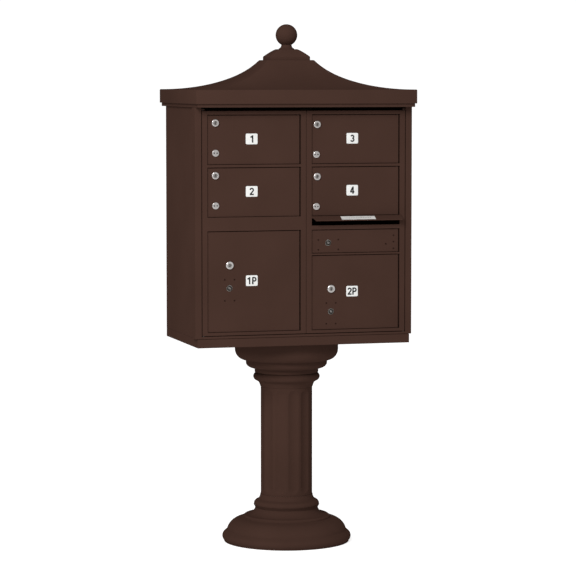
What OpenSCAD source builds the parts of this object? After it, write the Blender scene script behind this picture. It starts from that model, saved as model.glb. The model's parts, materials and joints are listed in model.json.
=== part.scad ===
// Cluster mailbox unit on a fluted pedestal. Two hinged master doors carry four mail doors,
// two parcel lockers, an outgoing-mail slot under a hood, and its access door.
// Origin: centre of the pedestal's underside, on the ground. +X is to the right as seen from
// the front, the front faces -Y, and +Z is up. All sizes are in millimetres.

/* [Cabinet] */
// Width over the two corner posts
cabinet_w = 775; // [700:5:950]
// Depth from the posts' face to the back panel's face
cabinet_d = 457; // [380:1:560]
// Height of the cabinet's underside above the ground
pedestal_h = 716; // [650:1:860]
// Height of the bottom pan
pan_h = 30; // [24:1:40]
// Height of the sill strip above the pan
sill_h = 9; // [7:1:14]
// Open gap between the master doors and the cap
head_gap = 12; // [11:1:18]
// Thickness of panels, posts and pans
panel_t = 3; // [2:0.5:4]
// Width of a corner post's face
post_face = 22.5; // [18:0.5:40]
// How far a corner post stands proud of the side panel
post_proud = 7.5; // [5:0.5:12]
// Depth of a corner post along the side of the cabinet
post_depth = 40; // [30:1:80]
// Thickness of the shelves
shelf_t = 2.5; // [1.5:0.5:4]

/* [Master doors] */
// How far the master doors' face sits behind the posts' face
master_recess = 1; // [0.5:0.5:3]
// Gap between a master door and its post
master_gap = 2.5; // [2.5:0.5:5]
// Distance from the centre plane to the line where the master doors meet
meeting_x = 6; // [-20:1:20]
// Gap between the two master doors
meeting_gap = 1.2; // [1:0.1:4]
// Thickness of a master door's face
face_t = 3; // [2:0.5:4]
// Thickness of its returned edges and jambs, and of the small doors
sheet_t = 2; // [1.5:0.5:2.5]
// Depth of its returned edges
edge_depth = 20; // [18:1:24]
// Width of the stile at the hinge side
outer_stile = 18.5; // [16:0.5:30]
// Width of the left master door's stile where the doors meet
inner_stile_left = 18.4; // [17:0.1:30]
// Width of the right master door's stile where the doors meet
inner_stile_right = 19.4; // [17:0.1:30]
// Height of the rail above the top doors
top_rail = 13; // [10:0.5:20]
// Height of the thin rails between doors
thin_rail = 9; // [9:0.5:14]
// Height of the rail between the outgoing door and the right parcel door
parcel_rail = 6; // [6:0.5:14]
// Height of the rail that holds the mail slot
middle_rail = 47; // [46:0.5:60]
// Height of the rail below the parcel doors
bottom_rail = 10.5; // [9:0.5:16]
// Distance of a master door's pivot from its face and its edge
pivot_in = 4; // [3.5:0.5:5]
// Radius of the master doors' pivot pins
pivot_r = 2; // [1.5:0.25:2.5]

/* [Small doors] */
// Height of a mail door's opening
mail_h = 170; // [140:1:210]
// Height of the left parcel door's opening
parcel_h = 347; // [330:1:420]
// Height of the outgoing access door's opening
outgoing_h = 82; // [78:1:100]
// How far the small doors sit behind the master doors' face
leaf_recess = 3.5; // [2.5:0.5:5]
// Depth of a small door with its returned edges
leaf_depth = 10; // [8:0.5:12]
// Gap beside a small door at its lock side
gap_lock = 1.5; // [1:0.25:2.5]
// Gap beside a small door at its hinge side
gap_hinge = 4.5; // [4:0.25:6]
// Gap above a small door
gap_top = 2.5; // [1.5:0.25:3]
// Gap below a small door
gap_bottom = 1.5; // [1.5:0.25:2.5]
// Radius of the small doors' hinge pins
pin_r = 1.5; // [1:0.25:2]
// Size of the square boss round a hinge pin
boss = 8; // [7:0.5:9]
// Height of a number plate
plate_h = 36.5; // [30:0.5:60]
// Width of a number plate
plate_w = 41.5; // [30:0.5:60]
// Thickness of a number plate
plate_t = 1.2; // [0.8:0.1:2]
// Corner radius of a number plate
plate_corner = 4; // [2:0.5:8]
// Distance of a left number plate's centre to the left of its opening's centre
plate_shift_left = 9; // [0:1:30]
// Distance of a right number plate's centre to the left of its opening's centre
plate_shift_right = 13; // [0:1:30]
// Height of a number plate's centre above its opening's centre
plate_up = 2.5; // [-10:0.5:10]

/* [Locks] */
// Distance of a left mail door's lock from its opening's left edge
lock_in_left = 28; // [18:0.5:40]
// Distance of a right mail door's lock from its opening's left edge
lock_in_right = 19; // [18:0.5:40]
// Distance of a left mail door's lock below its opening's top
lock_down_left = 27.5; // [24:0.5:45]
// Distance of a right mail door's lock below its opening's top
lock_down_right = 34; // [24:0.5:45]
// Distance of a left door's blank plug from its opening's left edge
blank_in_left = 29; // [14:0.5:40]
// Distance of a right door's blank plug from its opening's left edge
blank_in_right = 16.5; // [14:0.5:40]
// Height of a left door's blank plug above its opening's bottom
blank_up_left = 40; // [24:0.5:50]
// Height of a right door's blank plug above its opening's bottom
blank_up_right = 33; // [24:0.5:50]
// Distance of the left parcel door's locks from its opening's left edge
parcel_in_left = 78; // [60:1:100]
// Distance of the right parcel door's locks from its opening's left edge
parcel_in_right = 70; // [60:1:100]
// Distance of a parcel door's lock below its opening's top
parcel_lock_down = 117; // [100:1:130]
// Distance from a parcel door's lock down to its carrier lock
carrier_drop = 79; // [70:1:90]
// Distance of the outgoing door's carrier lock from its opening's left edge
outgoing_lock_in = 60; // [56:1:90]
// Distance of the outgoing door's carrier lock below its opening's top
outgoing_lock_down = 46; // [44:0.5:50]
// Radius of a mail door lock's head
lock_head_r = 12.7; // [11:0.1:13.5]
// Radius of a parcel door lock's head
parcel_head_r = 14; // [12:0.1:16]
// How far a lock's head stands proud of its door
lock_head_t = 6; // [3:0.5:8]
// Radius of a lock's threaded barrel
barrel_r = 9.5; // [8:0.1:11.5]
// Radius of a lock's turning plug
plug_r = 6.4; // [5.5:0.1:7]
// Radius of a blank plug's head
blank_head_r = 12; // [10:0.5:12]
// Radius of a blank plug's body
blank_r = 8; // [7:0.5:8.5]
// How far a locked cam reaches past the edge of the opening
cam_catch = 8; // [5:0.5:9]
// Thickness of a cam
cam_t = 2.5; // [2:0.25:3]
// Length of a carrier lock's case
case_l = 80; // [78:1:90]
// Width of a carrier lock's case
case_w = 42; // [40:1:48]
// Depth of a carrier lock's case
case_d = 22; // [18:1:24]
// Radius of a carrier lock's cylinder
carrier_r = 9; // [7:0.5:9.5]
// Radius of the hole that the cylinder shows through
carrier_hole_r = 10.5; // [10:0.5:12]
// Long distance between the screws of a carrier lock
case_screw_l = 72; // [60:1:74]
// Short distance between the screws of a carrier lock
case_screw_w = 34; // [28:1:36]
// Travel of a carrier lock's bolt
bolt_travel = 14; // [10:1:16]

/* [Outgoing mail] */
// How far the hood stands proud of the master door
hood_out = 26; // [18:1:30]
// Height of the hood's slope
hood_drop = 13; // [10:0.5:20]
// Thickness of the hood
hood_t = 2; // [1.5:0.5:3]
// Height of the slot's lower edge above the outgoing door's opening
slot_up = 14.5; // [10:0.5:20]
// Height of the mail slot
slot_h = 24.5; // [20:0.5:26]
// Length of the label on the hood
label_l = 123; // [80:1:200]
// Distance from the opening's left edge to the label
label_in = 101; // [60:1:140]

/* [Cap] */
// How far the cap's fascia stands out over the corner posts at each side
cap_over_side = 5; // [2:1:40]
// How far the cap's fascia stands out over the posts' face and over the back
cap_over_front = 43; // [20:1:60]
// Height of the rim below the fascia
rim_h = 12; // [8:1:20]
// How far the rim stands in from the fascia
rim_in = 6; // [4:0.5:12]
// Height of the fascia
fascia_h = 48; // [36:1:64]
// Height of the roof above the fascia
roof_h = 102; // [80:1:140]
// How strongly the roof curves: 1 is a straight slope
roof_curve = 2.2; // [1.5:0.1:3.5]
// Share of the roof's height that lies in the flare under the upper tier
roof_flare = 0.2; // [0:0.05:0.4]
// How late the flare starts: a higher number keeps it closer to the tier
flare_curve = 8; // [5:0.5:12]
// Width of the upper tier
tier_w = 144; // [110:1:180]
// Depth of the upper tier
tier_d = 100; // [90:1:140]
// Height of the upper tier's upright edge
tier_edge = 12; // [8:1:20]
// Height of the upper tier's dome
tier_dome = 26; // [20:1:45]
// Ledge round the upper tier
tier_ledge = 12; // [4:1:20]
// Radius of the ball
ball_r = 38; // [28:0.1:45]
// Height of the ball's centre above the upper tier
ball_up = 49; // [44:1:60]

/* [Pedestal] */
// Radius of the fluted column
column_r = 91; // [80:0.5:110]
// Height of the base cover
base_h = 168; // [150:1:190]
// Height of the capital cover
capital_h = 165; // [150:1:190]
// Wall of the moulded covers
cover_t = 5; // [3:0.5:6]
// Wall of the column sleeve
sleeve_t = 8; // [7:0.5:10]
// Number of flutes
flutes = 12; // [8:1:16]
// Width of a flute
flute_w = 38; // [24:1:40]
// Depth of a flute
flute_d = 5; // [3:0.5:5.5]
// Plain band above and below the flutes
flute_end = 9; // [5:1:30]
// Outer radius of the base's foot
foot_r = 228; // [215:1:260]
// Radius of the load-bearing tube
tube_r = 57; // [45:1:65]
// Wall of the load-bearing tube
tube_t = 5; // [3:0.5:8]
// Side of the square base plate
base_plate = 280; // [260:1:290]
// Thickness of the base plate
base_plate_t = 12; // [8:1:16]
// Distance between the anchor holes
anchor_spacing = 230; // [210:1:240]
// Radius of the anchor holes
anchor_r = 8; // [6:0.5:10]
// Side of the square top plate
top_plate = 240; // [220:1:244]
// Thickness of the top plate
top_plate_t = 8; // [6:1:12]
// Distance between the deck bolts
deck_spacing = 180; // [160:1:190]
// Radius of the deck bolts
deck_bolt_r = 6; // [5:0.5:7]

/* [Clearances] */
// Radial clearance of a pin or a plug that turns
run_fit = 0.05; // [0.02:0.01:0.1]
// Clearance round a bolt or bar that slides
slide_fit = 0.3; // [0.2:0.1:0.5]
// Radial clearance of bolts and barrels in their holes
hole_fit = 0.4; // [0.2:0.1:0.6]

/* [Hidden] */
$fn = 64;
// Overshoot of a cut past the surface that it opens
cut = 1;

// Column 0 is the left master door, column 1 the right one.
DOORS = ["door_1", "door_2", "door_3", "door_4", "parcel_1", "parcel_2", "outgoing"];
MAIL = [0, 1, 2, 3];
MAIL_LAST = 3;
PARCELS = [4, 5];
OUTGOING = 6;
COLUMN = [0, 0, 1, 1, 0, 1, 1];

ROOT_NODES = [
    "pedestal_post", "deck_bolts", "base_cover", "column_sleeve", "capital_cover", "bottom_pan",
    "floor_sill", "left_side", "right_side", "left_post", "right_post", "back_panel", "header",
    "divider", "shelves", "cap_rim", "cap_roof", "cap_tier", "finial", "pivot_pins"
];
MASTER_NODES = [
    "left_master_frame", "left_latch_bar", "left_door_pins",
    "right_master_frame", "right_latch_bar", "right_door_pins", "outgoing_hood", "hood_label"
];

// Colours
bronze = [0.28, 0.2, 0.18];
bronze_dark = [0.2, 0.14, 0.13];
bright = [0.75, 0.73, 0.7];
zinc = [0.6, 0.6, 0.58];
plate_white = [0.95, 0.95, 0.94];

// Cabinet planes
half_w = cabinet_w / 2;
front_y = -cabinet_d / 2;
back_y = cabinet_d / 2;
side_x = half_w - post_proud;
pan_top = pedestal_h + pan_h;
sill_top = pan_top + sill_h;
// A fine shadow line separates the pan from what stands on it
reveal = 1;
// The master doors stand on washers on the sill
lift = 2.5;
master_z0 = sill_top + lift;
master_h = top_rail + 2 * mail_h + thin_rail + middle_rail + parcel_h + bottom_rail;
master_z1 = master_z0 + master_h;
cabinet_top = master_z1 + head_gap;

// Master doors
face_y = front_y + master_recess;
post_inner = half_w - post_face;
door_edge = post_inner - master_gap;
pivot_x = door_edge - pivot_in;
pivot_y = face_y + pivot_in;
pivot_boss = 2 * pivot_in;
pivot_boss_h = 12;
MASTER_X = [[-door_edge, meeting_x - meeting_gap / 2], [meeting_x + meeting_gap / 2, door_edge]];
OPEN_X = [
    [-door_edge + outer_stile, MASTER_X[0][1] - inner_stile_left],
    [MASTER_X[1][0] + inner_stile_right, door_edge - outer_stile]
];

// Rows of openings, from the top down
row_1_top = master_z1 - top_rail;
row_2_top = row_1_top - mail_h - thin_rail;
lower_top = row_2_top - mail_h - middle_rail;
lower_bottom = master_z0 + bottom_rail;
outgoing_bottom = lower_top - outgoing_h;
OPEN_Z = [
    [row_1_top - mail_h, row_1_top],
    [row_2_top - mail_h, row_2_top],
    [row_1_top - mail_h, row_1_top],
    [row_2_top - mail_h, row_2_top],
    [lower_bottom, lower_top],
    [lower_bottom, outgoing_bottom - parcel_rail],
    [outgoing_bottom, lower_top]
];
function open_x(d) = OPEN_X[COLUMN[d]];
function open_z(d) = OPEN_Z[d];

// Small doors
leaf_y = face_y + leaf_recess;
leaf_back = leaf_y + leaf_depth;
leaf_inside = leaf_y + sheet_t;
function leaf_x0(d) = open_x(d)[0] + gap_lock;
function leaf_x1(d) = open_x(d)[1] - gap_hinge;
function leaf_z0(d) = open_z(d)[0] + gap_bottom;
function leaf_z1(d) = open_z(d)[1] - gap_top;
function pin_x(d) = leaf_x1(d) - boss / 2;
pin_y = leaf_y + boss / 2;
boss_h = 10;

// Jambs reach a little behind the closed small doors, and cams turn just behind the jambs
jamb_back = leaf_back + 0.5;
cam_y = jamb_back + 0.5;
cam_w = 14;

// Lock places
lock_in = [lock_in_left, lock_in_right];
lock_down = [lock_down_left, lock_down_right];
blank_in = [blank_in_left, blank_in_right];
blank_up = [blank_up_left, blank_up_right];
plate_shift = [plate_shift_left, plate_shift_right];
parcel_in = [parcel_in_left, parcel_in_right];
function is_parcel(d) = d == PARCELS[0] || d == PARCELS[1];
function lock_x(d) = open_x(d)[0] + (is_parcel(d) ? parcel_in : lock_in)[COLUMN[d]];
function lock_z(d) = open_z(d)[1] - (is_parcel(d) ? parcel_lock_down : lock_down[COLUMN[d]]);
function blank_x(d) = open_x(d)[0] + blank_in[COLUMN[d]];
function blank_z(d) = open_z(d)[0] + blank_up[COLUMN[d]];
function cam_l(d) = lock_x(d) - open_x(d)[0] + cam_catch;

// Carrier locks: the cylinder sits a little above the middle of its case
carrier_offset = 6.5;
function carrier_x(d) = d == OUTGOING ? open_x(d)[0] + outgoing_lock_in : lock_x(d);
function carrier_z(d) = d == OUTGOING ? open_z(d)[1] - outgoing_lock_down : lock_z(d) - carrier_drop;
function case_z(d) = carrier_z(d) - carrier_offset;
function case_size(d) = d == OUTGOING ? [case_l, case_w] : [case_w, case_l];
function case_screws(d) = d == OUTGOING ? [case_screw_l, case_screw_w] : [case_screw_w, case_screw_l];
case_back = leaf_inside + case_d;
case_screw_r = 2;
slide_y = cam_y + 1;
slide_t = 6;
slide_h = 16;
// A thrown bolt reaches past the edge of the opening, and keeps a grip inside its case
bolt_catch = 9;
bolt_grip = 11;
slide_hold = bolt_travel + bolt_grip;
slide_rest = bolt_travel - bolt_catch;

// Latch bars slide up behind the meeting stiles into keepers under the header
latch_w = 8;
latch_t = 3;
latch_y = face_y + 8;
latch_travel = 13;
latch_foot = 13.5;
keeper_w = 40;
keeper_z = master_z1 + 4;
latch_past_keeper = 2;
guide_w = 12;
guide_h = 8;
guide_wall = 1.8;
GUIDE_Z = [master_z0 + 200, lower_top + 65, master_z1 - 45];
latch_z0 = GUIDE_Z[0] - latch_foot;
latch_z1 = keeper_z + panel_t + latch_past_keeper - latch_travel;
function latch_x(column) = column == 0
    ? MASTER_X[0][1] - inner_stile_left / 2
    : MASTER_X[1][0] + inner_stile_right / 2;
latch_tab_z = [lower_top + 10, lower_top - 26];
latch_tab_h = 15;
latch_tab_out = 14;

// Shelves, divider and header stand just behind the closed master doors
inner_y = face_y + edge_depth + 3.5;
header_y = inner_y + 4;
inner_back = back_y - panel_t;
inner_side = side_x - panel_t;
divider_x0 = meeting_x - panel_t / 2;
divider_x1 = meeting_x + panel_t / 2;
shelf_1_z = row_2_top + thin_rail / 2 - shelf_t / 2;
shelf_2_z = row_2_top - mail_h - 3;
shelf_3_z = outgoing_bottom - parcel_rail / 2 - shelf_t / 2 - 0.5;

// Outgoing mail
slot_z0 = lower_top + slot_up;
hood_top = row_2_top - mail_h - 0.5;
hood_lip = 3;
hood_y = face_y - hood_out;
hood_flange = 7;

// The outgoing door's inner strap and its rivets
strap_w = 44;
strap_h = 58;
strap_in = 31;
strap_drop = 6;
rivet_r = 1.8;
RIVETS = [[14, 23], [14, 1], [14, -22], [-14, -6]];
strap_x = leaf_x1(OUTGOING) - strap_in;
strap_z = (open_z(OUTGOING)[0] + open_z(OUTGOING)[1]) / 2 - strap_drop;

// Cap
cap_w = cabinet_w + 2 * cap_over_side;
cap_d = cabinet_d + 2 * cap_over_front;
rim_z = cabinet_top;
fascia_z = rim_z + rim_h;
eave_z = fascia_z + fascia_h;
roof_top_z = eave_z + roof_h;
tier_top_z = roof_top_z + tier_edge + tier_dome;
roof_steps = 16;
dome_steps = 10;
dome_curve = 1.25;
neck_r = 18;
neck_foot_r = 27;

// Pedestal
capital_z = pedestal_h - capital_h;
sleeve_r = column_r - sleeve_t;

// ---------- helpers ----------

module box(lo, hi) {
    translate(lo) cube(hi - lo);
}

// A cylinder along +Y from y0 to y1
module rod_y(r, x, z, y0, y1) {
    translate([x, y0, z]) rotate([-90, 0, 0]) cylinder(r = r, h = y1 - y0);
}

// An upright cylinder from z0 to z1
module rod_z(r, x, y, z0, z1) {
    translate([x, y, z0]) cylinder(r = r, h = z1 - z0);
}

// A hexagon nut along +Y
module nut_y(r, x, z, y0, y1) {
    translate([x, y0, z]) rotate([-90, 0, 0]) cylinder(r = r, h = y1 - y0, $fn = 6);
}

// A YZ outline carried along +X
module along_x(x0, x1, outline) {
    translate([x0, 0, 0]) rotate([90, 0, 90]) linear_extrude(height = x1 - x0) polygon(outline);
}

// A flat plate that faces the front, with rounded corners
module rounded_plate(x, z, w, h, y0, y1, corner) {
    box([x - w / 2 + corner, y0, z - h / 2], [x + w / 2 - corner, y1, z + h / 2]);
    box([x - w / 2, y0, z - h / 2 + corner], [x + w / 2, y1, z + h / 2 - corner]);
    for (sx = [-1, 1])
        for (sz = [-1, 1])
            rod_y(corner, x + sx * (w / 2 - corner), z + sz * (h / 2 - corner), y0, y1);
}

// A stack of level rectangles, each [half width, half depth, height], closed into one solid
module stack(levels) {
    n = len(levels);
    corners = [[-1, -1], [1, -1], [1, 1], [-1, 1]];
    points = [for (v = levels) for (c = corners) [c[0] * v[0], c[1] * v[1], v[2]]];
    bottom = [[0, 1, 2, 3]];
    top = [[4 * n - 1, 4 * n - 2, 4 * n - 3, 4 * n - 4]];
    walls = [for (k = [0 : n - 2]) for (c = [0 : 3]) let (next = (c + 1) % 4)
        [4 * k + c, 4 * k + 4 + c, 4 * k + 4 + next, 4 * k + next]];
    polyhedron(points = points, faces = concat(bottom, top, walls));
}

// Points on an ellipse about [cx, cz], from angle a0 to a1
function oval(cx, cz, rx, rz, a0, a1, steps = 8) =
    [for (k = [0 : steps]) let (a = a0 + (a1 - a0) * k / steps) [cx + rx * cos(a), cz + rz * sin(a)]];

// A turned cover: the outline is carried round, and its inner side lies wall inward and dz across
module turned_shell(outline, wall, dz) {
    n = len(outline);
    low = outline[0][1];
    inner = [for (k = [n - 1 : -1 : 0])
        [outline[k][0] - wall, k == n - 1 ? outline[k][1] : max(low, outline[k][1] + dz)]];
    rotate_extrude($fn = 96) polygon(concat(outline, inner));
}

// ---------- pedestal ----------

module pedestal_post() {
    anchor = anchor_spacing / 2;
    deck = deck_spacing / 2;
    plate_z = pedestal_h - top_plate_t;
    gusset = 60;
    color(zinc) difference() {
        union() {
            box([-base_plate / 2, -base_plate / 2, 0], [base_plate / 2, base_plate / 2, base_plate_t]);
            rod_z(tube_r, 0, 0, 0, pedestal_h);
            box([-top_plate / 2, -top_plate / 2, plate_z], [top_plate / 2, top_plate / 2, pedestal_h]);
            for (turn = [0 : 90 : 270])
                rotate([90, 0, turn]) translate([0, 0, -panel_t])
                    linear_extrude(height = 2 * panel_t)
                        polygon([[tube_r - 2, base_plate_t], [tube_r + gusset, base_plate_t],
                            [tube_r + gusset, base_plate_t + 8], [tube_r - 2, base_plate_t + gusset]]);
        }
        rod_z(tube_r - tube_t, 0, 0, -cut, pedestal_h + cut);
        for (sx = [-1, 1])
            for (sy = [-1, 1]) {
                rod_z(anchor_r, sx * anchor, sy * anchor, -cut, base_plate_t + cut);
                rod_z(deck_bolt_r + hole_fit, sx * deck, sy * deck, plate_z - cut, pedestal_h + cut);
            }
    }
}

module deck_bolts() {
    deck = deck_spacing / 2;
    plate_z = pedestal_h - top_plate_t;
    floor_z = pedestal_h + panel_t;
    hex_r = 1.75 * deck_bolt_r;
    color(zinc)
        for (sx = [-1, 1])
            for (sy = [-1, 1]) {
                rod_z(deck_bolt_r, sx * deck, sy * deck, plate_z - 14, floor_z);
                translate([sx * deck, sy * deck, floor_z]) cylinder(r = hex_r, h = 8, $fn = 6);
                translate([sx * deck, sy * deck, plate_z - 10]) cylinder(r = hex_r, h = 10, $fn = 6);
            }
}

// From the ground up: rounded foot, domed plinth, ring, scotia, torus, collar under the column
module base_cover() {
    outline = concat(
        [[foot_r - 7, 0]],
        oval(foot_r - 18, 18, 18, 18, -52, 50, 6),
        oval(foot_r - 73, 29, 58, 54, 12, 80, 8),
        [[foot_r - 73, 85], [foot_r - 73, 90], [foot_r - 80, 94]],
        oval(foot_r - 84, 126, 34, 32, 270, 180, 6),
        oval(column_r + 8.5, 133, 16, 15, -65, 70, 8),
        [[column_r + 7, 151], [column_r + 3, 160], [column_r + 1.5, base_h]]
    );
    color(bronze) turned_shell(outline, cover_t, -cover_t / 2);
}

module column_sleeve() {
    round_r = (pow(flute_w / 2, 2) + pow(flute_d, 2)) / (2 * flute_d);
    axis_r = column_r - flute_d + round_r;
    low = base_h + flute_end + flute_w / 2;
    high = capital_z - flute_end - flute_w / 2;
    color(bronze) difference() {
        rod_z(column_r, 0, 0, base_h, capital_z);
        rod_z(sleeve_r, 0, 0, base_h - cut, capital_z + cut);
        for (k = [0 : flutes - 1])
            rotate([0, 0, k * 360 / flutes]) {
                rod_z(round_r, axis_r, 0, low, high);
                translate([axis_r, 0, low]) sphere(r = round_r);
                translate([axis_r, 0, high]) sphere(r = round_r);
            }
    }
}

// From the column up: collar, torus, neck, two quarter rounds and an upright band
module capital_cover() {
    z = capital_z;
    outline = concat(
        [[column_r + 1.5, z], [column_r + 4, z + 8], [column_r + 8, z + 16]],
        oval(column_r + 10.5, z + 35, 16, 15, -70, 68, 8),
        [[column_r + 21.5, z + 51], [column_r + 21.5, z + 65]],
        oval(column_r + 24.5, z + 84, 28, 19, -90, 0, 6),
        [[column_r + 52.5, z + 95], [column_r + 57.5, z + 95]],
        oval(column_r + 57.5, z + 133, 34, 38, -90, 0, 8),
        [[column_r + 91.5, pedestal_h]]
    );
    color(bronze) turned_shell(outline, cover_t, cover_t / 2);
}

// ---------- cabinet ----------

module bottom_pan() {
    deck = deck_spacing / 2;
    hole_r = deck_bolt_r + hole_fit;
    color(bronze) difference() {
        box([-side_x, front_y, pedestal_h], [side_x, back_y, pan_top]);
        box([-side_x + panel_t, front_y + panel_t, pedestal_h + panel_t],
            [side_x - panel_t, back_y - panel_t, pan_top + cut]);
        for (sx = [-1, 1])
            for (sy = [-1, 1])
                rod_z(hole_r, sx * deck, sy * deck, pedestal_h - cut, pedestal_h + panel_t + cut);
    }
}

module floor_sill() {
    color(bronze) difference() {
        union() {
            box([-post_inner, face_y, pan_top + reveal], [post_inner, face_y + panel_t, sill_top]);
            box([-post_inner, face_y, sill_top - panel_t], [post_inner, inner_y, sill_top]);
            box([-inner_side, inner_y, sill_top - panel_t], [inner_side, inner_back, sill_top]);
        }
        for (side = [-1, 1])
            rod_z(pivot_r, side * pivot_x, pivot_y, pan_top, sill_top + cut);
    }
}

module side_panel(side) {
    color(bronze) mirror([side < 0 ? 1 : 0, 0, 0])
        box([inner_side, front_y + panel_t, pan_top], [side_x, inner_back, cabinet_top]);
}

// A folded post: face, outer side, return onto the side panel, door jamb and top hinge ear
module corner_post(side) {
    z0 = pan_top + reveal;
    ear_z0 = master_z1 + 3;
    ear_in = 6;
    color(bronze) mirror([side < 0 ? 1 : 0, 0, 0]) difference() {
        union() {
            box([post_inner, front_y, z0], [half_w, front_y + panel_t, cabinet_top]);
            box([half_w - panel_t, front_y, z0], [half_w, front_y + post_depth, cabinet_top]);
            box([side_x, front_y + post_depth - panel_t, z0], [half_w, front_y + post_depth, cabinet_top]);
            box([post_inner, front_y, z0], [post_inner + panel_t, inner_y, cabinet_top]);
            box([pivot_x - ear_in, face_y + 0.5, ear_z0],
                [post_inner + cut, pivot_y + ear_in, ear_z0 + panel_t]);
        }
        rod_z(pivot_r, pivot_x, pivot_y, ear_z0 - cut, ear_z0 + panel_t + cut);
    }
}

module back_panel() {
    color(bronze) box([-side_x, inner_back, pan_top], [side_x, back_y, cabinet_top]);
}

// The ceiling, with a stiffened front edge and a keeper for the latch bars
module header() {
    color(bronze_dark) difference() {
        union() {
            box([-inner_side, header_y, cabinet_top - panel_t], [inner_side, inner_back, cabinet_top]);
            box([-inner_side, header_y, master_z1 + 1],
                [inner_side, header_y + panel_t, cabinet_top - panel_t]);
            box([meeting_x - keeper_w / 2, face_y + 3.5, keeper_z],
                [meeting_x + keeper_w / 2, header_y + panel_t, keeper_z + panel_t]);
        }
        for (column = [0, 1])
            translate([latch_x(column), 0, 0])
                box([-latch_w / 2 - slide_fit, latch_y - slide_fit, keeper_z - cut],
                    [latch_w / 2 + slide_fit, latch_y + latch_t + slide_fit, keeper_z + panel_t + cut]);
    }
}

// The upright wall between the columns, notched round the header's front edge and its keeper
module divider() {
    color(bronze) difference() {
        box([divider_x0, inner_y, sill_top], [divider_x1, inner_back, cabinet_top - panel_t]);
        box([divider_x0 - cut, inner_y - cut, master_z1 + 1],
            [divider_x1 + cut, header_y + panel_t, cabinet_top]);
    }
}

module shelves() {
    color(bronze) {
        for (z = [shelf_1_z, shelf_2_z])
            box([-inner_side, inner_y, z], [divider_x0, inner_back, z + shelf_t]);
        for (z = [shelf_1_z, shelf_2_z, shelf_3_z])
            box([divider_x1, inner_y, z], [inner_side, inner_back, z + shelf_t]);
    }
}

// ---------- cap ----------

module cap_rim() {
    x = cap_w / 2 - rim_in;
    y = cap_d / 2 - rim_in;
    color(bronze) difference() {
        box([-x, -y, rim_z], [x, y, fascia_z + 6]);
        box([-x + panel_t, -y + panel_t, rim_z + panel_t], [x - panel_t, y - panel_t, fascia_z + 6 + cut]);
    }
}

// Half width and half depth of the roof at a fraction s of the way in from the eave
function roof_level(s, inward, drop) = [
    cap_w / 2 + s * (tier_w / 2 + tier_ledge - cap_w / 2) - inward,
    cap_d / 2 + s * (tier_d / 2 + tier_ledge * tier_d / tier_w - cap_d / 2) - inward,
    eave_z + roof_h * ((1 - roof_flare) * pow(s, roof_curve) + roof_flare * pow(s, flare_curve)) - drop
];

module cap_roof() {
    x = cap_w / 2;
    y = cap_d / 2;
    outer = concat([[x, y, fascia_z]], [for (k = [0 : roof_steps]) roof_level(k / roof_steps, 0, 0)]);
    inner = concat([[x - panel_t, y - panel_t, fascia_z + panel_t]],
        [for (k = [0 : roof_steps]) roof_level(k / roof_steps, panel_t, panel_t)]);
    color(bronze) difference() {
        stack(outer);
        stack(inner);
        box([-x + rim_in, -y + rim_in, fascia_z - cut], [x - rim_in, y - rim_in, fascia_z + panel_t + cut]);
        rod_z(5, 0, 0, roof_top_z - 2 * panel_t, roof_top_z + cut);
    }
}

// Half width and half depth of the upper tier's dome at a fraction s of the way in
function dome_level(s, inward, drop) = [
    tier_w / 2 + s * (neck_foot_r + 4 - tier_w / 2) - inward,
    tier_d / 2 + s * (neck_foot_r + 1 - tier_d / 2) - inward,
    roof_top_z + tier_edge + tier_dome * (1 - pow(1 - s, dome_curve)) - drop
];

module cap_tier() {
    outer = concat([[tier_w / 2, tier_d / 2, roof_top_z]],
        [for (k = [0 : dome_steps]) dome_level(k / dome_steps, 0, 0)]);
    inner = concat([[tier_w / 2 - panel_t, tier_d / 2 - panel_t, roof_top_z - cut]],
        [for (k = [0 : dome_steps]) dome_level(k / dome_steps, panel_t, panel_t)]);
    color(bronze) difference() {
        stack(outer);
        stack(inner);
        rod_z(5, 0, 0, tier_top_z - 2 * panel_t, tier_top_z + cut);
    }
}

module finial() {
    ball_z = tier_top_z + ball_up;
    meet_z = ball_z - sqrt(ball_r * ball_r - neck_r * neck_r);
    neck = concat(
        [[0, tier_top_z], [neck_foot_r, tier_top_z], [neck_foot_r, tier_top_z + 2]],
        oval(neck_foot_r, meet_z, neck_foot_r - neck_r, meet_z - tier_top_z - 3, 270, 180, 6),
        [[neck_r, meet_z + 2], [0, meet_z + 2]]
    );
    color(bronze) union() {
        rotate_extrude() polygon(neck);
        translate([0, 0, ball_z]) sphere(r = ball_r);
        rod_z(5, 0, 0, roof_top_z - 20, tier_top_z + cut);
    }
}

// ---------- master doors ----------

// Upper and lower pivots, each with a washer at the bottom that carries the door
module pivot_pins() {
    color(zinc)
        for (side = [-1, 1]) {
            rod_z(pivot_r, side * pivot_x, pivot_y, master_z1 - 10, master_z1 + 8);
            rod_z(pivot_r, side * pivot_x, pivot_y, sill_top - 5, master_z0 + 10);
            rod_z(pivot_r + 2, side * pivot_x, pivot_y, sill_top, master_z0 - 0.2);
        }
}

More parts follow.
